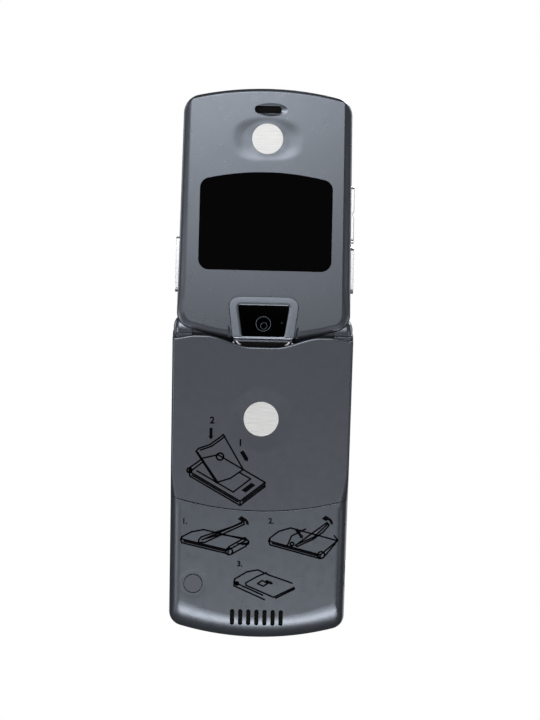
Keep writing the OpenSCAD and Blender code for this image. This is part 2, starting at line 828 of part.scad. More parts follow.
// A side key is a cap in the lid's edge, held by a flange inside the wall.
module side_key(side, s, length, flange_l) {
    wall_in = lid_half(s + length / 2) - lid_wall - fit_gap;
    outer = lid_half(s) + side_key_proud;
    mirror([side < 0 ? 1 : 0, 0, 0]) {
        bar(wall_in - side_flange_t, outer)
            translate([0, s]) side_key_shape(length);
        bar(wall_in - side_flange_t, wall_in) translate([-side_key_h, s])
            square([side_key_w + 2 * side_flange_out, flange_l], center = true);
    }
}

module volume_rocker() {
    dimple_r = 1.2;
    dimple_depth = 0.4;
    dimple_x = lid_half(rocker_s) + side_key_proud + dimple_r - dimple_depth;
    color([0.75, 0.76, 0.78]) in_lid() difference() {
        side_key(1, rocker_s, rocker_l, 5);
        stud(dimple_r, dimple_x, rocker_s, -side_key_h - side_key_w, -side_key_h + side_key_w);
    }
}

module smart_key() {
    color([0.75, 0.76, 0.78]) in_lid()
        side_key(1, smart_s, smart_l, smart_l + 2 * side_flange_out);
}

module voice_key() {
    color([0.75, 0.76, 0.78]) in_lid()
        side_key(-1, voice_s, voice_l, voice_l + 2 * side_flange_out);
}

// ---- base: hinge ----

module knuckle(side) {
    edge_x = knuckle_x1 - knuckle_edge_r;
    mirror([side < 0 ? 1 : 0, 0, 0]) at_axis() {
        rod(barrel_r, knuckle_x0, edge_x);
        rod(barrel_r - knuckle_edge_r, knuckle_x0, knuckle_x1);
        translate([edge_x, 0, 0]) rotate([0, 90, 0])
            rotate_extrude() translate([barrel_r - knuckle_edge_r, 0]) circle(knuckle_edge_r);
    }
}

module hinge_shaft() {
    color([0.5, 0.5, 0.52]) at_axis()
        rod(shaft_r, -knuckle_x0 - shaft_seat,
            -barrel_half + cartridge_l - cartridge_end_t - shaft_end_gap);
}

module hinge_pivot_sleeve() {
    color([0.65, 0.65, 0.67]) at_axis() difference() {
        rod(sleeve_r, barrel_half - sleeve_in, sleeve_x1);
        rod(sleeve_bore_r, 0, base_w);
    }
}

// ---- base: housings ----

module speaker_slot_row() {
    for (i = [0 : speaker_slots - 1])
        translate([(i - (speaker_slots - 1) / 2) * speaker_pitch, speaker_z])
            rounded_rect(speaker_slot_w, speaker_slot_l, speaker_slot_w / 2 - in);
}

module usb_opening() {
    half = usb_w / 2 + usb_clear;
    block(base_w / 4, base_w, usb_y0 - usb_clear, board_y0 + usb_clear, usb_z - half,
          usb_z + half);
}

module base_rear_housing() {
    color([0.29, 0.31, 0.35]) difference() {
        union() {
            slab(0, base_split_y) difference() {
                base_outline();
                above_seam(seam_gap);
            }
            slab(door_t + fit_gap, base_split_y) intersection() {
                base_outline(rail_t + seam_gap);
                below_top(0.2);
            }
            slab(rail_y + fit_gap, base_split_y) intersection() {
                base_outline();
                below_top(0.2);
            }
            slab(base_split_y - 1, floor_y1) intersection() {
                base_outline(base_wall + fit_gap);
                translate([-base_w, bay_z0 - bay_wall])
                    square([2 * base_w, bay_z1 - bay_z0 + bay_wall + 1]);
            }
        }
        // Inside of the chin, the battery bay and the hollows beside it.
        slab(door_t, floor_y1 + 1) intersection() {
            base_outline(base_wall);
            translate([-base_w, base_bottom_z])
                square([2 * base_w, bay_z0 - bay_wall - base_bottom_z]);
        }
        block(-bay_half, bay_half, 0, floor_y0, bay_z0, bay_z1);
        for (x = [-1, 1], z = [[bay_z0 + 1, base_screw_z0 - 3],
                               [base_screw_z0 + 3, base_screw_z1 - 3]])
            block(x * base_screw_x - side_hollow_w / 2, x * base_screw_x + side_hollow_w / 2,
                  side_hollow_y0, floor_y1 + 1, z[0], z[1]);
        barrel_room();
        at_axis() knuckle_room();
        // Room for the latch, the door's tabs, the card and the contacts.
        block(-latch_half - latch_clear, latch_half + latch_clear, 0, latch_y1 + latch_clear,
              latch_z0 - latch_travel - latch_clear, axis_z);
        block(-tongue_half - latch_clear, tongue_half + latch_clear, 0, tongue_y1 + latch_clear,
              tongue_z0 - latch_travel - latch_clear, axis_z);
        for (x = [-1, 1])
            block(x * tab_x - tab_w / 2 - tab_clear, x * tab_x + tab_w / 2 + tab_clear, door_t,
                  door_t + tab_t + 1.2, seam_z - tab_drop - tab_clear, bay_z0 + in);
        block(-card_w / 2 - fit_gap, card_w / 2 + fit_gap, card_y0 - fit_gap,
              card_y0 + card_t + fit_gap, bay_z0 - card_l - 2, bay_z0 + in);
        block(-contacts_half - fit_gap, contacts_half + fit_gap, contacts_y0 - fit_gap,
              floor_y1 + 1, bay_z1 - in, hollow_top_z);
        // Speaker slots, test port, socket and screw holes.
        slab(-1, door_t + 1) speaker_slot_row();
        stud(plug_r + hole_clear, plug_x, plug_z, -1, door_t + 1);
        usb_opening();
        for (p = base_screws_xz) {
            stud(screw_r + hole_clear, p[0], p[1], 0, floor_y1 + 1);
            stud(screw_head_r + 0.1, p[0], p[1], 0, screw_seat_y);
        }
    }
}

module base_front_housing() {
    color([0.29, 0.31, 0.35]) difference() {
        union() {
            difference() {
                union() {
                    slab(base_split_y, base_t) base_outline();
                    intersection() {
                        slab(face_y0, chin_t) intersection() {
                            base_outline();
                            below_tip();
                        }
                        bar(-base_w, base_w) chin_profile();
                    }
                }
                // Hollow behind the keypad face and in the chin.
                slab(0, face_y0) intersection() {
                    base_outline(base_wall);
                    translate([-base_w, base_bottom_z])
                        square([2 * base_w, hollow_top_z - base_bottom_z]);
                }
                intersection() {
                    slab(face_y0 - 1, chin_t) intersection() {
                        base_outline(base_wall);
                        below_tip(base_wall);
                    }
                    bar(-base_w, base_w) chin_profile(base_wall);
                }
                barrel_room();
                keypad_openings();
            }
            for (side = [-1, 1]) knuckle(side);
            for (p = base_screws_xz) stud(boss_r, p[0], p[1], board_y0, face_y0 + in);
        }
        // The shaft, the hollow pivot and the cable's way down from it.
        at_axis() rod(shaft_r + hole_clear, -knuckle_x0 - shaft_seat - fit_gap, 0);
        tail_x1 = sleeve_x1 + base_tail_w + 2 * fit_gap;
        at_axis() rod(sleeve_r + hole_clear, 0, tail_x1);
        block(sleeve_x1, tail_x1, base_tail_y0 - 0.3, axis_y - 0.8, hollow_top_z - 1, axis_z);
        block(sleeve_x1, tail_x1, board_y1, face_y0, hollow_top_z - 3, hollow_top_z);
        stud(mic_hole_r, 0, mic_z, face_y0, chin_t + 1);
        usb_opening();
        for (p = base_screws_xz)
            stud(screw_r + hole_clear, p[0], p[1], 0, face_y0 - 0.4);
    }
}

// ---- base: battery door ----

module battery_door() {
    pivot_gap = 0.15;
    color([0.31, 0.33, 0.37]) difference() {
        union() {
            slab(0, door_t) intersection() {
                base_outline();
                above_seam();
                below_top();
            }
            slab(door_t - in, rail_y) intersection() {
                difference() {
                    base_outline();
                    base_outline(rail_t);
                }
                above_seam();
                below_top();
            }
            for (x = [-1, 1]) {
                block(x * tab_x - tab_w / 2, x * tab_x + tab_w / 2, door_t - in,
                      door_t + tab_t, seam_z + 1.6, bay_z0 - 0.6);
                block(x * tab_x - tab_w / 2, x * tab_x + tab_w / 2, door_t + pivot_gap,
                      door_t + tab_t, seam_z - tab_drop, seam_z + 1.7);
            }
        }
        stud(door_badge_d / 2 + hole_clear, 0, axis_z - door_badge_s, -1,
             dish_depth + badge_t);
        stud(door_dish_r, 0, axis_z - door_badge_s, -1, dish_depth);
    }
}

module door_badge_disc() {
    color([0.82, 0.82, 0.82])
        stud(door_badge_d / 2, 0, axis_z - door_badge_s, dish_depth, dish_depth + badge_t);
}

module battery_latch() {
    color([0.05, 0.05, 0.06]) {
        slab(latch_y0, latch_y1) translate([0, (latch_z0 + latch_z1) / 2])
            rounded_rect(2 * latch_half, latch_z1 - latch_z0, 0.7);
        block(-tongue_half, tongue_half, latch_y0 + 0.1, tongue_y1, tongue_z0, latch_z0 + 0.2);
    }
}

// ---- base: inside ----

module battery_pack() {
    color([0.16, 0.17, 0.2]) slab(battery_y0, battery_y1)
        translate([0, (bay_z0 + bay_z1) / 2])
            rounded_rect(2 * (bay_half - bay_gap), bay_z1 - bay_z0 - 2 * bay_gap, 1.5);
}

// Three contact leaves in one block, which stands on the main board.
module battery_contacts() {
    color([0.85, 0.7, 0.3]) {
        block(-contacts_half, contacts_half, contacts_y0, board_y0, bay_z1 + 0.2,
              hollow_top_z - fit_gap);
        for (i = [-1 : 1])
            translate([i * contact_pitch, 0, 0])
                block(-0.4, 0.4, contacts_y0 + 0.3, contacts_y0 + 1.1, bay_z1 - bay_gap,
                      bay_z1 + 0.3);
    }
}

// The main board, with its shield cans, its card reader and the cable up to the hinge.
module main_board() {
    board_top = hollow_top_z - 0.5;
    can_y0 = card_y0 + card_t - 0.3;
    can_z0 = chin_z1 - 6.3;
    can_z1 = bay_z0 - bay_wall - 3.5;
    reader_y0 = card_y0 + card_t + fit_gap;
    tail_x0 = sleeve_x1 + fit_gap;
    tail_y1 = base_tail_y0 + foil_t;
    bend_z = board_top - 2;
    color([0.1, 0.32, 0.2]) {
        difference() {
            slab(board_y0, board_y1) intersection() {
                base_outline(base_wall + 0.3);
                translate([-base_w, base_bottom_z])
                    square([2 * base_w, board_top - base_bottom_z]);
            }
            for (p = base_screws_xz) stud(boss_r + boss_clear, p[0], p[1], 0, base_t);
        }
        block(-22, -8, can_y0, board_y0, can_z0, can_z1);
        block(8, 15.5, can_y0, board_y0, can_z0, can_z1);
        block(-6.5, 6.5, reader_y0, board_y0, bay_z0 - card_l - 2, bay_z0 - bay_wall - 1.5);
    }
    color([0.8, 0.5, 0.2]) {
        block(tail_x0, tail_x0 + base_tail_w, base_tail_y0, tail_y1, bend_z, axis_z - 0.4);
        block(tail_x0, tail_x0 + base_tail_w, board_y1, tail_y1, bend_z - foil_t, bend_z);
    }
}

module dome_sheet() {
    color([0.85, 0.85, 0.8]) difference() {
        slab(board_y1, dome_y1) intersection() {
            base_outline(base_wall + 1.2);
            translate([-base_w, chin_z1 + 1.5])
                square([2 * base_w, hollow_top_z - chin_z1 - 5]);
        }
        for (p = base_screws_xz) stud(boss_r + boss_clear, p[0], p[1], 0, base_t);
    }
}

module memory_card() {
    color([0.08, 0.08, 0.1]) block(-card_w / 2, card_w / 2, card_y0, card_y0 + card_t,
                                   bay_z0 - 1 - card_l, bay_z0 - 1);
}

module antenna() {
    color([0.15, 0.15, 0.16]) difference() {
        slab(board_y1, antenna_y1) intersection() {
            base_outline(base_wall + 1);
            translate([-base_w, base_bottom_z + 2])
                square([2 * base_w, chin_z1 - base_bottom_z - 4]);
        }
        stud(mic_r + 0.6, 0, mic_z, 0, chin_t);
    }
}

module loudspeaker() {
    color([0.2, 0.2, 0.22]) slab(door_t + mesh_t, speaker_y1) translate([0, speaker_z])
        rounded_rect(speaker_w, speaker_h, 1.5);
}

module loudspeaker_mesh() {
    color([0.06, 0.06, 0.06]) slab(door_t, door_t + mesh_t) translate([0, speaker_z])
        rounded_rect(speaker_w, speaker_slot_l + 2, 1);
}

module microphone() {
    color([0.7, 0.7, 0.72]) stud(mic_r, 0, mic_z, board_y1, antenna_y1 - 0.1);
}

// The socket's metal shell, with the tongue in its mouth.
module usb_socket() {
    x1 = base_w / 2 - 0.9;
    shell_t = 0.35;
    color([0.7, 0.71, 0.73]) {
        difference() {
            block(x1 - usb_l, x1, usb_y0, board_y0, usb_z - usb_w / 2, usb_z + usb_w / 2);
            block(x1 - usb_l + 2, x1 + 1, usb_y0 + shell_t, board_y0 - shell_t,
                  usb_z - usb_w / 2 + shell_t, usb_z + usb_w / 2 - shell_t);
        }
        block(x1 - usb_l + 1, x1 - 1.5, usb_y0 + 1.4, usb_y0 + 2.3, usb_z - 2.4, usb_z + 2.4);
    }
}

module test_port_plug() {
    color([0.3, 0.32, 0.36]) {
        stud(plug_r, plug_x, plug_z, 0, door_t + 0.1);
        stud(plug_r + 0.5, plug_x, plug_z, door_t + hole_clear, door_t + 0.5);
        stud(1.4, plug_x, plug_z, door_t, 3);
    }
}

module base_screws() {
    color([0.55, 0.55, 0.57]) for (p = base_screws_xz) {
        stud(screw_head_r, p[0], p[1], screw_seat_y - screw_head_t, screw_seat_y);
        stud(screw_r, p[0], p[1], screw_seat_y - in, face_y0 - 0.6);
    }
}

// ---- keypad ----
// Seen by someone who uses it, the keypad's left is at +x.

function column_x(i) = (1 - i % 3) * (key_w + key_bar_x);
function row_z(i) = axis_z - key_last_row + (3 - floor(i / 3)) * (key_h + key_bar_z);

module digit_outline(i, grow = 0) {
    translate([column_x(i), row_z(i)]) rounded_rect(key_w + 2 * grow, key_h + 2 * grow, 1 + grow);
}

// The corner keys follow the ring, a little way off it.
module corner_key_outline(x, z, grow = 0) {
    difference() {
        translate([x * soft_x, z])
            rounded_rect(soft_w + 2 * grow, soft_h + 2 * grow, 1 + grow);
        translate([0, ring_z]) circle(ring_r + corner_gap + 2 * (key_clear + flange_w) - grow);
    }
}

module clear_outline(grow = 0) {
    translate([0, clear_z]) rounded_rect(clear_w + 2 * grow, clear_h + 2 * grow, 1 + grow);
}

module keypad_openings() {
    slab(face_y0 - 1, base_t + 1) {
        for (i = [0 : 11]) digit_outline(i, key_clear);
        for (x = [-1, 1]) {
            corner_key_outline(x, soft_z, key_clear);
            corner_key_outline(x, call_z, key_clear);
        }
        clear_outline(key_clear);
        translate([0, ring_z]) circle(ring_r + key_clear);
    }
}

// A key is a cap with a flange under the keypad face and a foot over its dome.
module key_solid(x, z) {
    foot_y1 = flange_y0 + key_foot_t;
    slab(foot_y1, base_t - key_sink) children(0);
    slab(foot_y1, flange_y1) children(1);
    stud(key_foot_r, x, z, flange_y0, foot_y1 + in);
}

module digit_key(i) {
    color([0.72, 0.73, 0.75]) key_solid(column_x(i), row_z(i)) {
        digit_outline(i);
        digit_outline(i, flange_w);
    }
}

module corner_key(x, z) {
    color([0.72, 0.73, 0.75]) key_solid(x * soft_x, z) {
        corner_key_outline(x, z);
        corner_key_outline(x, z, flange_w);
    }
}

module clear_key() {
    color([0.72, 0.73, 0.75]) key_solid(0, clear_z) {
        clear_outline();
        clear_outline(flange_w);
    }
}

// The ring tilts on a soft pad, and its flange holds the centre key.
module ring_pad() {
    color([0.1, 0.1, 0.1]) difference() {
        stud(pad_r, 0, ring_z, flange_y0, flange_y0 + pad_t);
        stud(centre_key_r + centre_flange_w + 0.15, 0, ring_z, 0, base_t);
    }
}

module four_way_ring() {
    color([0.78, 0.79, 0.8]) difference() {
        union() {
            stud(ring_r, 0, ring_z, flange_y0, base_t - key_sink);
            stud(ring_r + flange_w, 0, ring_z, flange_y0, flange_y0 + ring_flange_t);
        }
        stud(centre_key_r + ring_bore_gap, 0, ring_z, 0, base_t + 1);
        stud(pad_r + pad_clear, 0, ring_z, 0, flange_y0 + pad_t + pad_clear);
    }
}

module centre_key() {
    color([0.72, 0.73, 0.75]) {
        stud(centre_key_r, 0, ring_z, flange_y0, base_t - key_sink);
        stud(centre_key_r + centre_flange_w, 0, ring_z, flange_y0, flange_y0 + ring_flange_t);
    }
}

module left_soft_key() corner_key(1, soft_z);
module right_soft_key() corner_key(-1, soft_z);
module send_key() corner_key(1, call_z);
module end_key() corner_key(-1, call_z);

lid_outer_cover();
lid_inner_frame();
outer_display_window();
outer_display_panel();
main_display_window();
main_display_panel();
camera_surround();
camera_window();
camera_module();
earpiece();
earpiece_meshes();
lid_badge_disc();
lid_board();
lid_screws();
lid_bumpers();
vibration_motor();
hinge_cartridge();
hinge_flex_cable();
volume_rocker();
smart_key();
voice_key();
base_front_housing();
base_rear_housing();
hinge_shaft();
hinge_pivot_sleeve();
battery_door();
door_badge_disc();
battery_latch();
battery_pack();
battery_contacts();
main_board();
dome_sheet();
memory_card();
antenna();
loudspeaker();
loudspeaker_mesh();
microphone();
usb_socket();
test_port_plug();
base_screws();
left_soft_key();
right_soft_key();
ring_pad();
four_way_ring();
centre_key();
send_key();
clear_key();
end_key();
for (i = [0 : 11]) digit_key(i);
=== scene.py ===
"""The looks of a thin clamshell phone, open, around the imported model.

Housings are built in the local frame of the half that they belong to: x to the right, y up along
the half and z out of its back, in millimetres, with the frame's own origin. A frame's matrix takes
them to the row frame in metres.
"""
import json
import math

import bmesh
import bpy
import numpy as np
from mathutils import Matrix, Vector
from mathutils.bvhtree import BVHTree
from mathutils.interpolate import poly_3d_calc


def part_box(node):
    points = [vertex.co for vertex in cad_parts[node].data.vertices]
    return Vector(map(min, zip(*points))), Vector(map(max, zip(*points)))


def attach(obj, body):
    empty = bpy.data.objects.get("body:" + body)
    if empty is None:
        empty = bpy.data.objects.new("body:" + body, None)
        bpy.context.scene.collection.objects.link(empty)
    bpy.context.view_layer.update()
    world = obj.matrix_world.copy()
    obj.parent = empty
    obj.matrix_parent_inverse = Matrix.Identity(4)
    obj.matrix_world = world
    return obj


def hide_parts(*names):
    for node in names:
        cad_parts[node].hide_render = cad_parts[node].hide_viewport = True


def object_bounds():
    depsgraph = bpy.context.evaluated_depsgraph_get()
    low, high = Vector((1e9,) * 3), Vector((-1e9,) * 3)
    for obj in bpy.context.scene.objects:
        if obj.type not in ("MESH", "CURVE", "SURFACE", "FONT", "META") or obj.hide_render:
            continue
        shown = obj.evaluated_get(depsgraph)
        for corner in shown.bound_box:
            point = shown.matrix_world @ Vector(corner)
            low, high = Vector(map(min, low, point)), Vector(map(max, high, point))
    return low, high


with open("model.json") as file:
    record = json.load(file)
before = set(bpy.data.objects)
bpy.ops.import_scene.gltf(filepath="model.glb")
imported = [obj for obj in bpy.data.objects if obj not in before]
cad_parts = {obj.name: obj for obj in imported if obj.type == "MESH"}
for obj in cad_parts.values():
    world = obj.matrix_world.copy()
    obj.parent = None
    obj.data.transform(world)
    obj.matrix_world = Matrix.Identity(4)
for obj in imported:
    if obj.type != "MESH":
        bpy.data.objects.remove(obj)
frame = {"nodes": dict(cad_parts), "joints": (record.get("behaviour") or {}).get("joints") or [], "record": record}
CAD_BOX = [list(corner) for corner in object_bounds()]
NODES = frame["nodes"]
SCENE = bpy.context.scene
MM = 0.001

# ---- camera -------------------------------------------------------------------------------------

CAMERA_TARGET = Vector((0, 0.0045, 0.060))
CAMERA_AZIMUTH = math.radians(-0.27)
CAMERA_ELEVATION = math.radians(8.33)
CAMERA_ROLL = math.radians(1.39)
CAMERA_DISTANCE = 0.8275
CAMERA_LENS = 140.7
CAMERA_AIM = Vector((0.00227, 0.00218, 0))
SENSOR_WIDTH = 36
NEAREST, FURTHEST = 0.05, 20


def add_camera():
    data = bpy.data.cameras.new("camera")
    data.lens = CAMERA_LENS
    data.sensor_width = SENSOR_WIDTH
    data.clip_start, data.clip_end = NEAREST, FURTHEST
    camera = bpy.data.objects.new("camera", data)
    SCENE.collection.objects.link(camera)
    back = Vector((math.sin(CAMERA_AZIMUTH) * math.cos(CAMERA_ELEVATION),
                   -math.cos(CAMERA_AZIMUTH) * math.cos(CAMERA_ELEVATION),
                   math.sin(CAMERA_ELEVATION)))
    turn = (-back).to_track_quat("-Z", "Y").to_matrix() @ Matrix.Rotation(CAMERA_ROLL, 3, "Z")
    place = CAMERA_TARGET + back * CAMERA_DISTANCE + turn @ CAMERA_AIM
    camera.matrix_world = Matrix.Translation(place) @ turn.to_4x4()
    SCENE.camera = camera


add_camera()

# ---- frames of the two halves -------------------------------------------------------------------

HINGE = Vector(next(j for j in frame["joints"] if j["name"] == "flip_hinge")["pos_m"])
LEAN = math.radians(15)


def local_frame(origin, out, up):
    columns = [axis * MM for axis in (up.cross(out), up, out)]
    turn = Matrix([[c[row] for c in columns] for row in range(3)]).to_4x4()
    return Matrix.Translation(origin) @ turn


UP = Vector((0, 0, 1))
BACK = Vector((0, -1, 0))
LID_UP = Vector((0, math.sin(LEAN), math.cos(LEAN)))
LID_BACK = Vector((0, -math.cos(LEAN), math.sin(LEAN)))
BASE = local_frame(Vector((0, 0, 0)), BACK, UP)
KEYPAD = local_frame(Vector((0, 0, 0)), -BACK, UP)
LID = local_frame(HINGE, LID_BACK, LID_UP)
LID_INSIDE = local_frame(HINGE, -LID_BACK, LID_UP)

# ---- outlines -----------------------------------------------------------------------------------
# An outline is an array of points in x and y, counter-clockwise, that starts in the middle of its
# lower left corner and has the same number of points on opposite sides.

STRAIGHT = 1e5
END_STEPS, SIDE_STEPS, CORNER_STEPS = 96, 128, 8
SIDES = (END_STEPS + 2 * CORNER_STEPS, SIDE_STEPS + 2 * CORNER_STEPS)


def arc(cx, cy, r, a0, a1, steps):
    """Points from angle a0 up to, but not including, a1. The angles are in radians."""
    angles = np.linspace(a0, a1, steps, endpoint=False)
    return np.column_stack([cx + r * np.cos(angles), cy + r * np.sin(angles)])


def end_corner(width, radius, end_radius):
    """Centre of a corner that touches a side and an end arc: its x, its drop from the end of the
    arc, and the angle at which corner and arc meet."""
    x = width / 2 - radius
    rise = math.sqrt((end_radius - radius) ** 2 - x ** 2)
    return x, end_radius - rise, math.atan2(rise, x)


def outline(top, bottom, nx=END_STEPS, ny=SIDE_STEPS, nc=CORNER_STEPS):
    """top and bottom each give (y, width, corner radius, radius of the end's arc)."""
    y1, w1, r1, e1 = top
    y0, w0, r0, e0 = bottom
    x1, drop1, f1 = end_corner(w1, r1, e1)
    x0, drop0, f0 = end_corner(w0, r0, e0)
    c1, c0 = y1 - drop1, y0 + drop0
    pi = math.pi
    side = np.linspace(0, 1, ny, endpoint=False)[:, None]
    right0, right1 = np.array([[w0 / 2, c0]]), np.array([[w1 / 2, c1]])
    up = right0 + (right1 - right0) * side
    flip = np.array([-1, 1])
    down = (right1 + (right0 - right1) * side) * flip
    return np.vstack([
        arc(-x0, c0, r0, pi + f0 / 2, pi + f0, nc),
        arc(0, y0 + e0, e0, pi + f0, 2 * pi - f0, nx),
        arc(x0, c0, r0, -f0, -f0 / 2, nc),
        arc(x0, c0, r0, -f0 / 2, 0, nc), up, arc(x1, c1, r1, 0, f1 / 2, nc),
        arc(x1, c1, r1, f1 / 2, f1, nc),
        arc(0, y1 - e1, e1, f1, pi - f1, nx),
        arc(-x1, c1, r1, pi - f1, pi - f1 / 2, nc),
        arc(-x1, c1, r1, pi - f1 / 2, pi, nc), down, arc(-x0, c0, r0, pi, pi + f0 / 2, nc)])


def circle(cx, cy, r, steps=96):
    return arc(cx, cy, r, 0, 2 * math.pi, steps)


def rounded_rect(cx, cy, w, h, r, nc=6):
    place = np.array([cx, cy])
    return outline((h / 2, w, r, STRAIGHT), (-h / 2, w, r, STRAIGHT), 1, 1, nc) + place


def outward(points):
    along = np.roll(points, -1, 0) - np.roll(points, 1, 0)
    normal = np.column_stack([along[:, 1], -along[:, 0]])
    return normal / np.linalg.norm(normal, axis=1)[:, None]


def grown(points, distance):
    return points + outward(points) * np.reshape(distance, (-1, 1))


def smoothstep(low, high, value):
    t = np.clip((value - low) / (high - low), 0, 1)
    return t * t * (3 - 2 * t)


# ---- solids -------------------------------------------------------------------------------------

BEYOND = 1
LIP_END = math.radians(80)


def new_mesh(name, points, faces, matrix):
    mesh = bpy.data.meshes.new(name)
    mesh.from_pydata([tuple(p) for p in points], [], faces)
    mesh.transform(matrix)
    mesh.validate()
    obj = bpy.data.objects.new(name, mesh)
    SCENE.collection.objects.link(obj)
    return obj


def column(name, rings, matrix):
    """A closed solid through rings of as many points each, given as (outline, z) from low to
    high. z is one number or one for each point."""
    count = len(rings[0][0])
    points = np.vstack([np.column_stack([p, np.broadcast_to(z, count)]) for p, z in rings])
    faces = [tuple(range(count))[::-1], tuple(range((len(rings) - 1) * count, len(rings) * count))]
    for k in range(len(rings) - 1):
        for i in range(count):
            j = (i + 1) % count
            faces.append((k * count + i, k * count + j, (k + 1) * count + j, (k + 1) * count + i))
    return new_mesh(name, points, faces, matrix)


def slab(points, low, high, matrix):
    return column("slab", [(points, low), (points, high)], matrix)


def hole(points, bottom, top, lip, matrix, reach=None, steps=5):
    """A cutter for an opening whose edge at the height top is rounded over, lip deep and reach
    wide. It goes on beyond the surface."""
    reach = reach or lip
    rings = [(points, bottom), (points, top - lip)]
    for angle in np.linspace(0, LIP_END, steps + 1)[1:]:
        rings.append((grown(points, reach * (1 - math.cos(angle))),
                      top - lip + lip * math.sin(angle)))
    rings.append((rings[-1][0], top + 2 * BEYOND))
    return column("hole", rings, matrix)


def patch(border, nx, ny):
    """Fills a border of nx and ny steps on its sides with a grid that follows all four sides."""
    low, right = border[:nx + 1], border[nx:nx + ny + 1]
    high = border[nx + ny:2 * nx + ny + 1][::-1]
    left = np.vstack([border[2 * nx + ny:], border[:1]])[::-1]
    u = np.linspace(0, 1, nx + 1)[:, None, None]
    v = np.linspace(0, 1, ny + 1)[None, :, None]
    corners = ((1 - u) * (1 - v) * low[0] + u * (1 - v) * low[-1]
               + (1 - u) * v * high[0] + u * v * high[-1])
    return ((1 - v) * low[:, None] + v * high[:, None] + (1 - u) * left[None]
            + u * right[None] - corners)


def round_over(t):
    """Reach and drop of a quarter ellipse, from 0 to 1."""
    return 1 - np.cos(t * math.pi / 2), 1 - np.sin(t * math.pi / 2)


def crease(t, start):
    """Reach and drop of an edge that breaks away at the angle start and then rounds over."""
    slope = math.pi / 2 + (start - math.pi / 2) * t
    return (1 - np.sin(slope)) / (1 - np.sin(start)), 1 - np.cos(slope) / np.cos(start)


def soft_shoulder(t):
    """Reach and drop of a shoulder that levels out at its foot."""
    return 1 - t, 1 - smoothstep(0, 1, t)


def plate(name, edge, border, z0, z1, depth, matrix, relief=None, profile=round_over, steps=8):
    """A closed solid over the outline edge, from z0 to z1. Its face fills the outline border, and
    the rounded edge between the two drops by depth. relief(x, y) is added to the face."""
    nx, ny = SIDES
    depth = np.broadcast_to(depth, len(edge)).astype(float)
    grid = patch(border, nx, ny).reshape(-1, 2)
    rise = relief(grid[:, 0], grid[:, 1]) if relief else np.zeros(len(grid))
    points = [np.column_stack([grid, z1 + rise])]

    def at(i, j):
        return i * (ny + 1) + j

    faces = [(at(i, j), at(i + 1, j), at(i + 1, j + 1), at(i, j + 1))
             for i in range(nx) for j in range(ny)]
    ring = ([at(i, 0) for i in range(nx)] + [at(nx, j) for j in range(ny)]
            + [at(i, ny) for i in range(nx, 0, -1)] + [at(0, j) for j in range(ny, 0, -1)])
    rim = relief(border[:, 0], border[:, 1]) if relief else np.zeros(len(edge))
    start = len(grid)
    levels = []
    for t in np.linspace(1, 0, steps + 1)[1:]:
        reach, drop = profile(t)
        levels.append((edge + (border - edge) * np.reshape(reach, (-1, 1)),
                       z1 + rim * (1 - drop) - depth * drop))
    levels.append((edge, np.full(len(edge), float(z0))))
    for place, z in levels:
        points.append(np.column_stack([place, z]))
        below = list(range(start, start + len(edge)))
        faces += [(ring[i], below[i], below[i - len(edge) + 1], ring[i - len(edge) + 1])
                  for i in range(len(edge))]
        ring, start = below, start + len(edge)
    faces.append(tuple(reversed(ring)))
    return new_mesh(name, np.vstack(points), faces, matrix)


def block(x0, x1, y0, y1, z0, z1, matrix):
    return slab(np.array([[x0, y0], [x1, y0], [x1, y1], [x0, y1]]), z0, z1, matrix)


def region(low, high, half):
    """An outline between the curves low(x) and high(x), with as many points as the others."""
    nx, ny = SIDES
    x = np.linspace(-half, half, nx, endpoint=False)
    t = np.linspace(0, 1, ny, endpoint=False)
    y0, y1 = low(np.array([half])), high(np.array([half]))
    right = np.column_stack([np.full(ny, half), y0 + (y1 - y0) * t])
    left = np.column_stack([np.full(ny, -half), y1 + (y0 - y1) * t])
    return np.vstack([np.column_stack([x, low(x)]), right,
                      np.column_stack([-x, high(-x)]), left])


def bake(obj):
    """Applies the modifiers of obj."""
    graph = bpy.context.evaluated_depsgraph_get()
    mesh = bpy.data.meshes.new_from_object(obj.evaluated_get(graph))
    obj.modifiers.clear()
    obj.data = mesh


def combine(obj, other, operation="DIFFERENCE"):
    """Cuts obj with other, joins them or keeps what they share. other is used up."""
    step = obj.modifiers.new("combine", "BOOLEAN")
    step.operation = operation
    step.solver = "MANIFOLD"
    step.object = other
    bake(obj)
    bpy.data.objects.remove(other)
    return obj


CAD_WELD = 0.002 * MM


def cad_copy(node):
    """A watertight copy of a CAD node's mesh."""
    obj = bpy.data.objects.new(node + "_copy", NODES[node].data.copy())
    SCENE.collection.objects.link(obj)
    work = bmesh.new()
    work.from_mesh(obj.data)
    bmesh.ops.remove_doubles(work, verts=work.verts, dist=CAD_WELD)
    work.to_mesh(obj.data)
    work.free()
    return obj


# A fold of more than SHARP is an edge. A face lies on a surface if it is within TOUCH of it and
# turned like it. Points within SAME are one. A part of less than SLIVER points is left from a cut.
SHARP = math.radians(30)
TOUCH = 0.02 * MM
ALIGNED = math.cos(math.radians(12))
SAME = 0.0002 * MM
SLIVER = 100
TOWARDS_MIDDLE = 0.05


def shade(mesh):
    mesh.shade_smooth()
    mesh.set_sharp_from_angle(angle=SHARP)


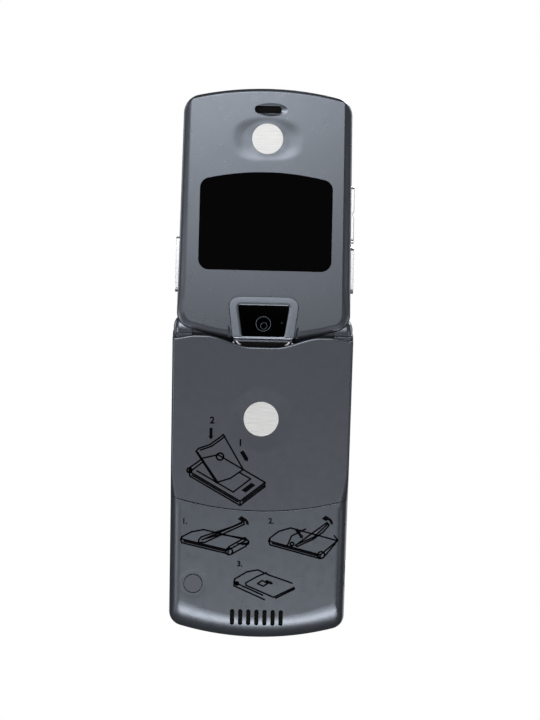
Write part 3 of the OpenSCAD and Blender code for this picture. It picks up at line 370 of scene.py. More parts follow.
class Skin:
    """Remembers how a surface is shaded before it is cut."""

    def __init__(self, obj):
        mesh = obj.data
        shade(mesh)
        points = [vertex.co.copy() for vertex in mesh.vertices]
        faces = [tuple(face.vertices) for face in mesh.polygons]
        shades = [corner.vector.copy() for corner in mesh.corner_normals]
        self.tree = BVHTree.FromPolygons(points, faces)
        self.corners = [[points[i] for i in face] for face in faces]
        self.shades = [[shades[i] for i in face.loop_indices] for face in mesh.polygons]

    def carries(self, face):
        """Whether a face lies on the surface."""
        place, normal = self.tree.find_nearest(face.center, TOUCH)[:2]
        return place is not None and normal.dot(face.normal) > ALIGNED

    def shade_at(self, point, middle):
        """The surface's own normal at a corner of a face that has this middle."""
        index = self.tree.find_nearest(point.lerp(middle, TOWARDS_MIDDLE))[2]
        weights = poly_3d_calc(self.corners[index], point)
        return sum((n * w for n, w in zip(self.shades[index], weights)), Vector()).normalized()


def shaped(obj, surface):
    """Cuts obj to a closed surface and returns the surface's skin."""
    skin = Skin(surface)
    combine(obj, surface, "INTERSECT")
    return skin


def slivers(work):
    """The points of all parts of a mesh that are too small to be meant."""
    seen, found = set(), []
    for seed in work.verts:
        if seed in seen:
            continue
        seen.add(seed)
        island, front = [], [seed]
        while front:
            island.append(front.pop())
            near = [edge.other_vert(island[-1]) for edge in island[-1].link_edges]
            fresh = [vert for vert in near if vert not in seen]
            seen.update(fresh)
            front += fresh
        if len(island) < SLIVER:
            found += island
    return found


def finished(obj, name, skins):
    """Names a piece, removes slivers that its cuts left apart and shades it as its skins were."""
    work = bmesh.new()
    work.from_mesh(obj.data)
    bmesh.ops.remove_doubles(work, verts=work.verts, dist=SAME)
    bmesh.ops.delete(work, geom=slivers(work), context="VERTS")
    work.to_mesh(obj.data)
    work.free()
    obj.name = name
    mesh = obj.data
    shade(mesh)
    normals = [corner.vector.copy() for corner in mesh.corner_normals]
    for face in mesh.polygons:
        for skin in skins:
            if skin.carries(face):
                for corner, vertex in zip(face.loop_indices, face.vertices):
                    normals[corner] = skin.shade_at(mesh.vertices[vertex].co, face.center)
                break
    mesh.normals_split_custom_set(normals)
    return obj


# ---- lid ----------------------------------------------------------------------------------------

LID_EDGE = outline((71.96, 49.92, 5.5, 95), (-3.36, 50.92, 5, 74))
LID_BORDER = outline((70.7, 45.2, 0.5, 95), (-1.3, 46, 3, 74))
COVER_H = 5.895
BADGE = (0, 56.7)
BADGE_R = 4.65
MOAT = (0.3, 56.1, 10.9, 6.5)
MOAT_SQUARENESS = 2.8
MOAT_SLOPE = 0.034
MOAT_FLOOR = 0.3
FOOT, TIP = (4, 14), (66, 71)
FOOT_DROP, SIDES_DROP, TIP_RISE = 1.0, 0.8, 0.7
SIDES_CREASE, TIP_CREASE = 35, 10


def moat(x, y):
    """A shallow dish around the badge, deepest at its sides."""
    cx, cy, rx, ry = MOAT
    angle = np.arctan2((y - cy) / ry, (x - cx) / rx)
    p = MOAT_SQUARENESS
    share = (np.abs(np.cos(angle)) ** p + np.abs(np.sin(angle)) ** p) ** (-1 / p)
    rim = np.hypot(rx * np.cos(angle), ry * np.sin(angle)) * share
    t = (np.hypot(x - BADGE[0], y - BADGE[1]) - BADGE_R) / (rim - BADGE_R)
    fall = 1 - smoothstep(MOAT_FLOOR, 1, t)
    return -MOAT_SLOPE * (rim - BADGE_R) * fall


def lid_depth(points):
    """How far the cover's rounded edge drops: most along the sides, less at foot and tip."""
    y = points[:, 1]
    return FOOT_DROP + SIDES_DROP * smoothstep(*FOOT, y) - TIP_RISE * smoothstep(*TIP, y)


SLOT_Y = 65.6
SLOT = (7.9, 2.2, 1.09)
SLOT_FILLER = (10.4, 4.4, 2.1)
SLOT_SINK, SLOT_LIP, SLOT_FLOOR = 0.3, 0.1, 4.5
BOWL = (0.9, 65.45, 5.0, 2.0)
BOWL_DEPTH = 0.5
BOWL_START = 0.15


def bowl(cx, cy, rx, ry, depth, top, matrix, steps=8):
    """A cutter for a shallow oval hollow."""
    rings = []
    for t in np.linspace(BOWL_START, 1, steps):
        rings.append((circle(0, 0, t) * [rx, ry] + [cx, cy], top - depth * (1 - t * t)))
    rings.append((rings[-1][0], top + BEYOND))
    return column("bowl", rings, matrix)


def lid_crease(t):
    """A sharp break along the sides, and a gentler one at the tip."""
    towards_tip = smoothstep(*TIP, LID_EDGE[:, 1])
    return crease(t, np.radians(SIDES_CREASE - (SIDES_CREASE - TIP_CREASE) * towards_tip))


SURROUND_EDGE = outline((9.58, 20.54, 3, 400), (-4.1, 18.2, 1.8, STRAIGHT))
SURROUND_BORDER = outline((8.3, 17.8, 2, 400), (-3.35, 15.6, 1.0, STRAIGHT))
SURROUND_GAP = 0.01
SURROUND_FILLER = 0.8
COVER_INSIDE = 4.85
FILLER_TOP = 6
GROOVE = np.array([[9.3, -3.9], [10.1, -3.9], [10.5, 0.2], [10.2, 0.8], [9.8, 0.2]])
GROOVE_FLOOR, GROOVE_TOP = 5.2, 6.5


def lid_outer_cover():
    """The CAD cover with its openings filled, cut to the crowned surface and opened again."""
    cover = cad_copy("lid_outer_cover")
    filler = rounded_rect(0, SLOT_Y, *SLOT_FILLER)
    combine(cover, slab(filler, COVER_INSIDE, FILLER_TOP, LID), "UNION")
    frill = grown(SURROUND_EDGE, SURROUND_FILLER)
    combine(cover, slab(frill, COVER_INSIDE + 0.02, FILLER_TOP, LID), "UNION")
    skin = shaped(cover, plate("cover", LID_EDGE, LID_BORDER, 2, COVER_H, lid_depth(LID_EDGE), LID,
                               moat, lid_crease))
    combine(cover, slab(grown(SURROUND_EDGE, SURROUND_GAP), 0, 8, LID))
    combine(cover, bowl(*BOWL, BOWL_DEPTH, COVER_H, LID))
    slot = rounded_rect(0, SLOT_Y, *SLOT)
    combine(cover, hole(slot, SLOT_FLOOR, COVER_H - SLOT_SINK, SLOT_LIP, LID))
    for groove in ((GROOVE * [-1, 1])[::-1], GROOVE):
        combine(cover, slab(groove, GROOVE_FLOOR, GROOVE_TOP, LID))
    return finished(cover, "outer_cover_finished", [skin])


SURROUND_H = 6.495
SURROUND_SHOULDER = 0.62
SURROUND_FOOT = (-9.2, 9.2, -4.2, -3.3, 4.6, 6.6)
CAMERA_WINDOW = outline((7.0, 15.0, 0.7, STRAIGHT), (-2.2, 12.5, 0.7, STRAIGHT), 1, 1, 4)


def camera_surround():
    ridge = plate("ridge", SURROUND_EDGE, SURROUND_BORDER, 1, SURROUND_H, SURROUND_SHOULDER, LID,
                  profile=soft_shoulder)
    piece = combine(cad_copy("camera_surround"), block(*SURROUND_FOOT, LID), "UNION")
    skin = shaped(piece, ridge)
    combine(piece, hole(CAMERA_WINDOW, 5.75, SURROUND_H, 0.22, LID, 1.3))
    return finished(piece, "camera_surround_finished", [skin])


FRAME_H = -0.205
FRAME_BORDER = outline((71.2, 48.4, 4.8, 95), (-2.6, 49.4, 4.3, 74))
FRAME_EDGE_DROP = 0.7
BARREL_HALF, BARREL_ROOM = 20.8, 5.2


def lid_inner_frame():
    shape = plate("frame", LID_EDGE, FRAME_BORDER, -3.1, FRAME_H, FRAME_EDGE_DROP, LID_INSIDE)
    skin = Skin(shape)
    barrel = block(-BARREL_HALF, BARREL_HALF, -BARREL_ROOM, BARREL_ROOM, -BARREL_ROOM, BARREL_ROOM,
                   LID_INSIDE)
    combine(shape, barrel, "UNION")
    piece = combine(cad_copy("lid_inner_frame"), shape, "INTERSECT")
    return finished(piece, "inner_frame_finished", [skin])


# ---- base ---------------------------------------------------------------------------------------

SEAM_Y, SEAM_R = 107.9, 90
SEAM_GAP = 0.15
BACK_Z = -0.005
BASE_EDGE = outline((70.5, 52.92, 0.3, STRAIGHT), (-20.96, 51.92, 4.5, 85))
BASE_TOP = 69
DOOR_DISH = (0, 45.3)
DOOR_DISH_R = 9.4
DOOR_DISH_SAG = 0.22
DOOR_BADGE_R = 5.2
DOOR_BADGE_FLOOR = -0.65
PLUG = (-19, -4.4)
PLUG_R = 2.75
PLUG_RIM_R = 2.9
PLUG_HALO = (3.7, 4.5)
PLUG_SAG = 0.03
SKIN = 1.0
DOOR_SKIN = 0.9
BEHIND = -6
SEAM_LIP = 0.15
HALF_WIDTH = 30
FLARE_START, FLARE_LENGTH, FLARE_POWER = 31, 10.6, 1.7
SIDE_DROP, FLARE_DROP = 0.8, 2.4
TOP_DROP, END_DROP = 0.02, 3.5
SIDE_INSET, FLARE_INSET = 0.85, 2.65


def flare(y):
    """0 along the door and 1 below the seam."""
    return np.clip((FLARE_START - y) / FLARE_LENGTH, 0, 1) ** FLARE_POWER


def edge_depth(points):
    """How far the rounded edge around the back of the base drops."""
    side = outward(points)[:, 0] ** 2
    end = np.where(points[:, 1] > BASE_TOP, TOP_DROP, END_DROP)
    return (SIDE_DROP + FLARE_DROP * flare(points[:, 1])) * side + end * (1 - side)


def back_border(inset):
    """Where the back of the base starts to round over. It leaves the sides further below the
    door, and is at least inset from them."""
    points = outline((70.48, 52.88, 0.28, STRAIGHT), (-14.2, 45, 1.2, 55))
    x, y = points.T
    half = 25.96 + 0.5 * (y + 21) / 91.5
    width = np.maximum(SIDE_INSET + FLARE_INSET * flare(y), inset + 0.05)
    beside = (np.abs(x) > 20) & (y > -8) & (y < 70)
    return np.column_stack([np.where(beside, np.sign(x) * (half - width), x), y])


def base_relief(x, y):
    dish = np.hypot(x - DOOR_DISH[0], y - DOOR_DISH[1])
    halo = np.hypot(x - PLUG[0], y - PLUG[1])
    hollow = np.clip(1 - (dish / DOOR_DISH_R) ** 2, 0, 1)
    return -DOOR_DISH_SAG * hollow - PLUG_SAG * (1 - smoothstep(*PLUG_HALO, halo))


def base_back(inset=0.0, floor=-5.5):
    """Everything behind the back of the base, or behind a surface that lies inside it."""
    relief = None if inset else base_relief
    depth = np.maximum(edge_depth(BASE_EDGE) - inset, 0.03)
    return plate("back", grown(BASE_EDGE, -inset), back_border(inset), floor, BACK_Z - inset,
                 depth, BASE, relief)


def seam(grow=0.0):
    return lambda x: SEAM_Y - np.sqrt((SEAM_R + grow) ** 2 - x ** 2)


DIP_FLOOR = 66.55
DIP, DIP_SIDE = 3.15, (3.5, 17)
SHOULDER_DROP, SHOULDER = 0.95, (19.5, 26.5)


def door_top(x):
    """The door's top edge, which dips around the middle of the lid's foot."""
    side = np.abs(x)
    shoulder = SHOULDER_DROP * smoothstep(*SHOULDER, side)
    return DIP_FLOOR + DIP * smoothstep(*DIP_SIDE, side) - shoulder


def level(y):
    return lambda x: np.full(len(x), float(y))


FAR_BELOW, FAR_ABOVE = level(-30), level(80)
SLOT_COUNT = 7
SLOT_PITCH = 2.4
SLOT_PLACE = -14.3
SLOT_SIZE = (1.28, 4.88, 0.63)


def cut_slots(piece):
    for i in range(SLOT_COUNT):
        x = (i - (SLOT_COUNT - 1) // 2) * SLOT_PITCH
        combine(piece, slab(rounded_rect(x, SLOT_PLACE, *SLOT_SIZE), -3, BEYOND, BASE))


REAR_LINING = -4.38
REAR_SEAM_FLOOR = -0.95
SPEAKER_ROOM = (0, -14.12, 18.6, 8.26, 1.2)
SOCKET_ROOM = (13, HALF_WIDTH, -4.9, 3.1, BEHIND, -1.75)
DOOR_ROOM_FLOOR, DOOR_ROOM_DEPTH = -3.05, 1.05
PLUG_RIM_FLOOR = -0.6


def base_rear_housing():
    """The CAD housing with a lining under the crowned surface, and with room for the door."""
    below = region(FAR_BELOW, seam(SEAM_GAP), HALF_WIDTH)
    lining = combine(slab(below, REAR_LINING, 2, BASE), base_back(SKIN, BEHIND))
    combine(lining, slab(rounded_rect(*SPEAKER_ROOM), -4.5, -0.9, BASE))
    combine(lining, slab(circle(*PLUG, PLUG_R), -3, 2.5, BASE))
    combine(lining, block(*SOCKET_ROOM, BASE))
    piece = combine(cad_copy("base_rear_housing"), lining, "UNION")
    skin = shaped(piece, base_back())
    above = region(seam(SEAM_GAP), FAR_ABOVE, HALF_WIDTH)
    combine(piece, hole(above, REAR_SEAM_FLOOR, BACK_Z, SEAM_LIP, BASE))
    cut_slots(piece)
    combine(piece, slab(circle(*PLUG, PLUG_RIM_R), PLUG_RIM_FLOOR, BEYOND, BASE))
    room = slab(above, DOOR_ROOM_FLOOR, 2, BASE)
    combine(piece, combine(room, base_back(DOOR_ROOM_DEPTH, BEHIND)))
    return finished(piece, "rear_housing_finished", [skin])


DOOR_LINING = -2.98
DOOR_FILLER_R, DOOR_FILLER_FLOOR = 9.6, -0.88
DOOR_SEAM_FLOOR, DOOR_TOP_FLOOR = -0.85, -3.2
DOOR_LIP, DOOR_LIP_REACH = 0.4, 0.6


def battery_door():
    """The CAD door with a lining under the crowned surface and a dished place for its badge."""
    shape = region(seam(), door_top, HALF_WIDTH)
    lining = combine(slab(shape, DOOR_LINING, 2, BASE), base_back(DOOR_SKIN, BEHIND))
    piece = cad_copy("battery_door")
    filler = circle(*DOOR_DISH, DOOR_FILLER_R)
    combine(piece, slab(filler, DOOR_FILLER_FLOOR, BEYOND, BASE), "UNION")
    combine(piece, lining, "UNION")
    skin = shaped(piece, base_back())
    below = region(FAR_BELOW, seam(), HALF_WIDTH)
    combine(piece, hole(below, DOOR_SEAM_FLOOR, BACK_Z, SEAM_LIP, BASE))
    above = region(door_top, FAR_ABOVE, HALF_WIDTH)
    combine(piece, hole(above, DOOR_TOP_FLOOR, BACK_Z, DOOR_LIP, BASE, DOOR_LIP_REACH))
    combine(piece, slab(circle(*DOOR_DISH, DOOR_BADGE_R), DOOR_BADGE_FLOOR, BEYOND, BASE))
    return finished(piece, "battery_door_finished", [skin])


FACE_Z = 8.695
CHIN_Z = 13.395
CHIN_TOP_Y, CHIN_TOP_R = 93, 95.7
CHIN_START, CHIN_LENGTH, CHIN_FALL = -3.7, 18.3, 2.6
CHIN_EDGE = 1.4
CHIN_BLEND = (-10, 0)
FACE_EDGE, FACE_EDGE_DROP = 0.9, 0.8
FRONT_FLOOR = 3
KNUCKLES = outline((75.02, 52.8, 3.4, 400), (63.5, 52.98, 0.2, STRAIGHT), 1, 1)
KNUCKLES_TOP = 15


def chin_slope(x, y):
    return -CHIN_FALL * np.clip((CHIN_START - y) / CHIN_LENGTH, 0, 1)


def chin_outline(inset):
    """The raised chin, whose upper edge curves around the tip of the closed lid."""
    points = outline((-inset, 52.9 - 2 * inset, 1, STRAIGHT),
                     (-20.96 + inset, 51.92 - 2 * inset, 4.5 - inset, 85))
    tip = CHIN_TOP_Y - np.sqrt(CHIN_TOP_R ** 2 - points[:, 0] ** 2)
    points[:, 1] += tip * smoothstep(*CHIN_BLEND, points[:, 1])
    return points


def base_front_housing():
    """The CAD housing cut to a rounded face, with its chin and its hinge knuckles."""
    shape = plate("face", BASE_EDGE, grown(BASE_EDGE, -FACE_EDGE), FRONT_FLOOR, FACE_Z,
                  FACE_EDGE_DROP, KEYPAD)
    chin = plate("chin", chin_outline(0), chin_outline(CHIN_EDGE), FRONT_FLOOR, CHIN_Z,
                 CHIN_EDGE, KEYPAD, chin_slope)
    skins = [Skin(shape), Skin(chin)]
    combine(shape, chin, "UNION")
    combine(shape, slab(KNUCKLES, FRONT_FLOOR, KNUCKLES_TOP, KEYPAD), "UNION")
    piece = combine(cad_copy("base_front_housing"), shape, "INTERSECT")
    return finished(piece, "front_housing_finished", skins)


# ---- materials ----------------------------------------------------------------------------------


class Finish:
    """A material around one Principled shader. Values go on the shader's own sockets."""

    def __init__(self, name, **values):
        self.material = bpy.data.materials.new(name)
        self.material.use_nodes = True
        self.tree = self.material.node_tree
        self.shader = self.tree.nodes["Principled BSDF"]
        for key, value in values.items():
            socket = self.shader.inputs[key.replace("_", " ").title().replace("Ior", "IOR")]
            socket.default_value = (*value, 1) if isinstance(value, tuple) else value

    def node(self, kind, **inputs):
        node = self.tree.nodes.new("ShaderNode" + kind)
        for key, value in inputs.items():
            node.inputs[key].default_value = value
        return node

    def link(self, source, target):
        self.tree.links.new(source, target)

    def noise(self, size, stretch=(1, 1, 1), detail=2.0, seed=0.0):
        """Noise with features of about size millimetres, stretched along x, y and z."""
        place = self.node("TexCoord")
        scale = self.node("Mapping", Scale=tuple(1 / (size * MM * s) for s in stretch),
                          Location=(seed, seed, seed))
        noise = self.node("TexNoise", Scale=1.0, Detail=detail)
        self.link(place.outputs["Object"], scale.inputs["Vector"])
        self.link(scale.outputs["Vector"], noise.inputs["Vector"])
        return noise.outputs["Fac"]

    def ramp(self, source, stops):
        """Colours or levels along source, as (position, colour or number)."""
        ramp = self.node("ValToRGB")
        elements = ramp.color_ramp.elements
        while len(elements) < len(stops):
            elements.new(0.5)
        for element, (position, value) in zip(elements, stops):
            element.position = position
            colour = value if isinstance(value, tuple) else (value, value, value)
            element.color = (*colour, 1)
        self.link(source, ramp.inputs["Fac"])
        return ramp.outputs["Color"]

    def times(self, first, second):
        mix = self.node("Mix")
        mix.data_type = "RGBA"
        mix.blend_type = "MULTIPLY"
        mix.inputs[0].default_value = 1
        self.link(first, mix.inputs[6])
        self.link(second, mix.inputs[7])
        return mix.outputs[2]

    def colour(self, source):
        self.link(source, self.shader.inputs["Base Color"])

    def roughness(self, source):
        self.link(source, self.shader.inputs["Roughness"])

    def bump(self, source, depth, strength=1.0):
        """Bumps of the given depth in millimetres."""
        bump = self.node("Bump", Strength=strength, Distance=depth * MM)
        self.link(source, bump.inputs["Height"])
        self.link(bump.outputs["Normal"], self.shader.inputs["Normal"])


def tint(colour, factor):
    return tuple(c * factor for c in colour)


def paint(name, colour, metallic=0.8, roughness=0.29, grain=0.16):
    """Satin metallic paint: fine flakes, faint clouds and a finely textured gloss."""
    finish = Finish(name, metallic=metallic, specular_ior_level=0.5)
    flakes = finish.ramp(finish.noise(grain, detail=1.0),
                         [(0.3, tint(colour, 0.95)), (0.7, tint(colour, 1.05))])
    clouds = finish.ramp(finish.noise(14, seed=3.0), [(0.3, 0.95), (0.7, 1.0)])
    finish.colour(finish.times(flakes, clouds))
    finish.roughness(finish.ramp(finish.noise(2.5, seed=7.0),
                                 [(0.3, roughness - 0.02), (0.7, roughness + 0.02)]))
    finish.bump(finish.noise(grain, detail=1.0, seed=11.0), 0.001, 0.2)
    return finish.material


def plastic(name, colour, roughness=0.45, grain=0.3, level=0.4):
    """Moulded plastic, rubber or ink with a fine spark-eroded texture."""
    finish = Finish(name, specular_ior_level=level)
    finish.colour(finish.ramp(finish.noise(grain), [(0.3, tint(colour, 0.85)), (0.7, colour)]))
    finish.roughness(finish.ramp(finish.noise(grain * 3, seed=5.0),
                                 [(0.3, roughness - 0.06), (0.7, roughness + 0.06)]))
    finish.bump(finish.noise(grain, seed=2.0), 0.01, 0.6)
    return finish.material


def metal(name, colour, roughness=0.3, stretch=(1, 1, 1), size=0.3, depth=0.003, metallic=1.0):
    """Metal, brushed where stretch draws the noise out."""
    finish = Finish(name, metallic=metallic)
    grain = finish.noise(size, stretch, 3.0)
    finish.colour(finish.ramp(grain, [(0.25, tint(colour, 0.78)), (0.75, colour)]))
    finish.roughness(finish.ramp(grain, [(0.25, roughness - 0.08), (0.75, roughness + 0.08)]))
    finish.bump(grain, depth, 0.7)
    return finish.material


def gloss(name, colour, roughness=0.06, level=0.3):
    """Polished glass or lacquer over black, with a trace of smears."""
    finish = Finish(name, specular_ior_level=level)
    finish.colour(finish.ramp(finish.noise(9), [(0.3, tint(colour, 0.7)), (0.7, colour)]))
    finish.roughness(finish.ramp(finish.noise(12, seed=4.0),
                                 [(0.35, roughness), (0.7, roughness + 0.03)]))
    return finish.material


# Painted highlights on the latch: chromed curves around each end, placed where bright streaks of light run.
HIGHLIGHT_CENTRE = Vector((6.3, 0.95, 68.7)) * MM
HIGHLIGHT_FADE = 0.8 * MM
HIGHLIGHT_REACH = 4 * MM
HIGHLIGHT_CURVES = [(0.3, 0.0), (0.34, 1.0), (0.4, 1.0), (0.44, 0.0),
          (0.56, 0.0), (0.6, 1.0), (0.66, 1.0), (0.7, 0.0)]
HIGHLIGHT_CHROME = (0.85, 0.86, 0.88, 1)


def latch_lacquer():
    """Black lacquer with painted highlights: two bright chromed curves around each end, drawn where bright streaks
    of light run. They are metallic, so they also reflect the lamps.
    """
    finish = Finish("latch_lacquer", roughness=0.08, specular_ior_level=0.06)
    place = finish.node("TexCoord")
    near = finish.node("VectorMath")
    near.operation = "ABSOLUTE"
    finish.link(place.outputs["Object"], near.inputs[0])
    middle = finish.node("VectorMath")
    middle.operation = "SUBTRACT"
    middle.inputs[1].default_value = HIGHLIGHT_CENTRE
    finish.link(near.outputs[0], middle.inputs[0])
    apart = finish.node("SeparateXYZ")
    finish.link(middle.outputs[0], apart.inputs[0])
    outer = finish.node("MapRange")
    outer.inputs["From Max"].default_value = HIGHLIGHT_FADE
    finish.link(apart.outputs["X"], outer.inputs["Value"])
    radius = finish.node("VectorMath")
    radius.operation = "LENGTH"
    finish.link(middle.outputs[0], radius.inputs[0])
    scaled = finish.node("MapRange")
    scaled.inputs["From Max"].default_value = HIGHLIGHT_REACH
    finish.link(radius.outputs["Value"], scaled.inputs["Value"])
    # The painted highlight: a mask of the curves that turns the colour to bright chrome and the surface metallic.
    painted_highlight = finish.times(finish.ramp(scaled.outputs[0], HIGHLIGHT_CURVES), outer.outputs[0])
    black = finish.ramp(finish.noise(3), [(0.3, (0.003, 0.003, 0.004)), (0.7, (0.006,) * 3)])
    mix = finish.node("Mix")
    mix.data_type = "RGBA"
    mix.inputs[7].default_value = HIGHLIGHT_CHROME
    finish.link(painted_highlight, mix.inputs[0])
    finish.link(black, mix.inputs[6])
    finish.colour(mix.outputs[2])
    finish.link(painted_highlight, finish.shader.inputs["Metallic"])
    return finish.material


def weave(name, colour, size=0.35):
    """Fine woven mesh."""
    finish = Finish(name, roughness=0.7, specular_ior_level=0.15)
    place = finish.node("TexCoord")
    heights = []
    for direction in ("X", "Z"):
        wave = finish.node("TexWave", Scale=1 / (size * MM * math.tau))
        wave.bands_direction = direction
        finish.link(place.outputs["Object"], wave.inputs["Vector"])
        heights.append(wave.outputs["Fac"])
    mask = finish.times(*(finish.ramp(height, [(0.1, 0.1), (0.6, 1.0)]) for height in heights))
    finish.colour(finish.times(mask, finish.ramp(finish.noise(1), [(0, colour), (1, colour)])))
    finish.bump(mask, 0.05)
    return finish.material


PAINT = (0.125, 0.138, 0.16)
MATERIALS = {
    "lid_paint": paint("lid_paint", PAINT),
    "lid_frame_paint": paint("lid_frame_paint", tint(PAINT, 0.8)),
    # The surround's paint is the lid's paint made much lighter. This lit copy is painted light, standing in for
    # the light its raised ridge catches.
    "surround_paint": paint("surround_paint", tint(PAINT, 1.65)),
    "base_paint": paint("base_paint", tint(PAINT, 1.2)),
    "rear_plastic": paint("rear_plastic", tint(PAINT, 0.95)),
    "door_paint": paint("door_paint", tint(PAINT, 0.86)),
    "window_glass": gloss("window_glass", (0.0004, 0.0004, 0.0005), 0.04, level=0.015),
    "display_glass": gloss("display_glass", (0.008, 0.009, 0.011), 0.05, level=0.5),
    "black_plastic": plastic("black_plastic", (0.02, 0.02, 0.022)),
    # The speaker mesh is near black, darker than the black plastic. It is partly the mesh's own black and partly
    # painted shade, so that the slots in front of it read as dark.
    "mesh": weave("mesh", (0.002, 0.002, 0.002)),
    "brushed_disc": metal("brushed_disc", (0.8, 0.8, 0.79), 0.45, stretch=(9, 9, 0.5), size=0.5,
                          depth=0.02, metallic=0.35),
    "board": plastic("board", (0.03, 0.16, 0.08), 0.4, grain=0.8),
    "steel": metal("steel", (0.62, 0.62, 0.64), 0.32, size=0.2),
    "rubber_black": plastic("rubber_black", (0.025, 0.025, 0.026), 0.75),
    "rubber_grey": paint("rubber_grey", tint(PAINT, 0.72), metallic=0.5, roughness=0.5),
    "flex_amber": plastic("flex_amber", (0.55, 0.24, 0.05), 0.3, grain=0.6),
    "side_key_metal": metal("side_key_metal", (0.86, 0.87, 0.89), 0.22, stretch=(1, 1, 12),
                            size=0.2),
    "battery_can": plastic("battery_can", (0.06, 0.065, 0.08), 0.5, grain=0.5),
    "gold": metal("gold", (0.9, 0.62, 0.24), 0.25),
    "dome_film": gloss("dome_film", (0.45, 0.46, 0.44), 0.3, level=0.5),
    "key_metal": metal("key_metal", (0.55, 0.57, 0.61), 0.38, size=0.15, depth=0.004),
}
OTHER_FINISH = {"battery_latch": latch_lacquer()}
SLOTS = {part["node"]: part["material_slot"] for part in frame["record"]["subparts"]}


def finish_with(obj, slot, material=None):
    obj.data.materials.clear()
    obj.data.materials.append(material or MATERIALS[slot])


# ---- printed and set-in details -----------------------------------------------------------------

INK = plastic("ink", (0.002, 0.002, 0.003), 0.75, level=0.03)
LENS_METAL = metal("lens_metal", (0.11, 0.13, 0.16), 0.4)
PRINT_SINK = 0.02
PRINT_HEIGHT = 0.03
PEN = 0.48
PEN_OVERLAP = 0.7
BOLDER = 0.035


def prism(work, points, z, thickness):
    """Adds a closed flat shape."""
    low = [work.verts.new((*p, z)) for p in points]
    high = [work.verts.new((*p, z + thickness)) for p in points]
    work.faces.new(low[::-1])
    work.faces.new(high)
    for i in range(len(points)):
        work.faces.new((low[i - 1], low[i], high[i], high[i - 1]))


def printed(name, lines, shapes, matrix, body, z=-PRINT_SINK, width=PEN, thickness=PRINT_HEIGHT,
            ink=INK):
    """Lines and filled shapes that stand a hair proud of a surface."""
    work = bmesh.new()
    for line in lines:
        for a, b in zip(line, line[1:]):
            a, b = np.array(a, float), np.array(b, float)
            ahead = (b - a) / np.linalg.norm(b - a) * width / 2
            side = np.array([-ahead[1], ahead[0]])
            a, b = a - PEN_OVERLAP * ahead, b + PEN_OVERLAP * ahead
            prism(work, [a - side, b - side, b + side, a + side], z, thickness)
    for shape in shapes:
        prism(work, shape, z, thickness)
    bmesh.ops.recalc_face_normals(work, faces=work.faces)
    mesh = bpy.data.meshes.new(name)
    work.to_mesh(mesh)
    work.free()
    return detail(name, mesh, matrix, body, ink)


def detail(name, mesh, matrix, body, material):
    mesh.transform(matrix)
    obj = bpy.data.objects.new(name, mesh)
    SCENE.collection.objects.link(obj)
    finish_with(obj, "black_plastic", material)
    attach(obj, body)
    return obj


def numeral(name, text, size, matrix, body):
    """A number or sign as a thin raised shape, centred on the matrix's origin."""
    curve = bpy.data.curves.new(name, "FONT")
    curve.body = text
    curve.size = size
    curve.extrude = PRINT_HEIGHT / 2
    curve.offset = size * BOLDER
    curve.resolution_u = 3
    curve.align_x = "CENTER"
    curve.align_y = "CENTER"
    source = bpy.data.objects.new(name + "_text", curve)
    SCENE.collection.objects.link(source)
    graph = bpy.context.evaluated_depsgraph_get()
    mesh = bpy.data.meshes.new_from_object(source.evaluated_get(graph))
    bpy.data.objects.remove(source)
    return detail(name, mesh, matrix, body, INK)


def ring(cx, cy, r, steps=32):
    points = circle(cx, cy, r, steps)
    return np.vstack([points, points[:1]])


def turned(points, x, y, degrees):
    """Points turned about the origin and moved to x, y."""
    a = math.radians(degrees)
    spin = np.array([[math.cos(a), math.sin(a)], [-math.sin(a), math.cos(a)]])
    return np.array(points, float) @ spin + [x, y]


def fat_arrow(x, y, degrees, length=3.5, half=0.45, head=0.8):
    """An arrow that points down before it is turned, with its tip at x, y."""
    shape = [(0, 0), (head, 1.3 * head), (half, 1.3 * head), (half, length), (-half, length),
             (-half, 1.3 * head), (-head, 1.3 * head)]
    return turned(shape, x, y, degrees)


def bent_arrow(x, y):
    """An arrow that bends over to the left, around x, y."""
    return np.vstack([arc(x, y, 1.9, -0.2, 1.4, 8),
                      [(x - 0.3, y + 2.4), (x - 1.4, y + 1.4), (x - 0.2, y + 0.7)],
                      arc(x, y, 1.1, 1.2, -0.2, 8)])


def sketch(corner, along, across, thick=1.1):
    """Places points of a phone drawn at an angle, as (share of its length, share of its width,
    share of its thickness)."""
    corner, along, across = (np.array(v, float) for v in (corner, along, across))

    def at(*points):
        return [corner + s * along + t * across + [0, h * thick] for s, t, h in points]
    return at


def lying_phone(at):
    """Upper outline, lower edge and side line of a phone that lies face down."""
    return [at((0, 0.15, 1), (0.01, 0.65, 1), (0.12, 1, 1), (1, 1, 1), (1, 0, 1), (0.06, 0, 1),
               (0, 0.15, 1)),
            at((0, 0.15, 1), (0, 0.1, 0.4), (0.06, 0, 0), (1, 0, 0), (1, 0, 1)),
            at((0.1, 0, 0.55), (0.96, 0, 0.55))]


def draw_door_fitting():
    """The cover goes in at its far end and is pressed down."""
    at = sketch((-21.5, 28.4), (15.9, -9.0), (7.2, 5.8), 1.3)
    lines = lying_phone(at)
    lines += [at((1, 0, 0), (1, 1, 0), (1, 1, 1)), at((1, 0.1, 0.5), (1, 0.95, 0.5)),
              at((0.12, 0.15, 1), (0.8, 0.15, 1), (0.8, 0.85, 1), (0.6, 0.85, 1)),
              at((0.06, 0.1, 1), (0.06, 0.5, 1))]
    left, right = ((-18.9, 35.3), (-12.7, 26.1)), ((-11, 40.5), (-4.9, 30.2))
    far = [left[0], (-18.1, 36.2), (-14.9, 37.4), (-12.1, 39.5), right[0]]
    near = [left[1], (-8.6, 27.5), right[1]]
    lines += [left, right, far, near, [(x + 0.5, y - 0.5) for x, y in far[1:]],
              [(-18.4, 35.0), (-12.2, 26.1)], ring(-11.8, 33.9, 1.05), ring(-20.7, 29.6, 0.7)]
    slab = at((0.86, 0.35, 1), (0.94, 0.35, 1), (0.94, 0.75, 1), (0.86, 0.75, 1))
    return lines, [slab, fat_arrow(-14.6, 38.9, 0), fat_arrow(-3.6, 32.6, 32, 3.6, 0.6, 0.8)]


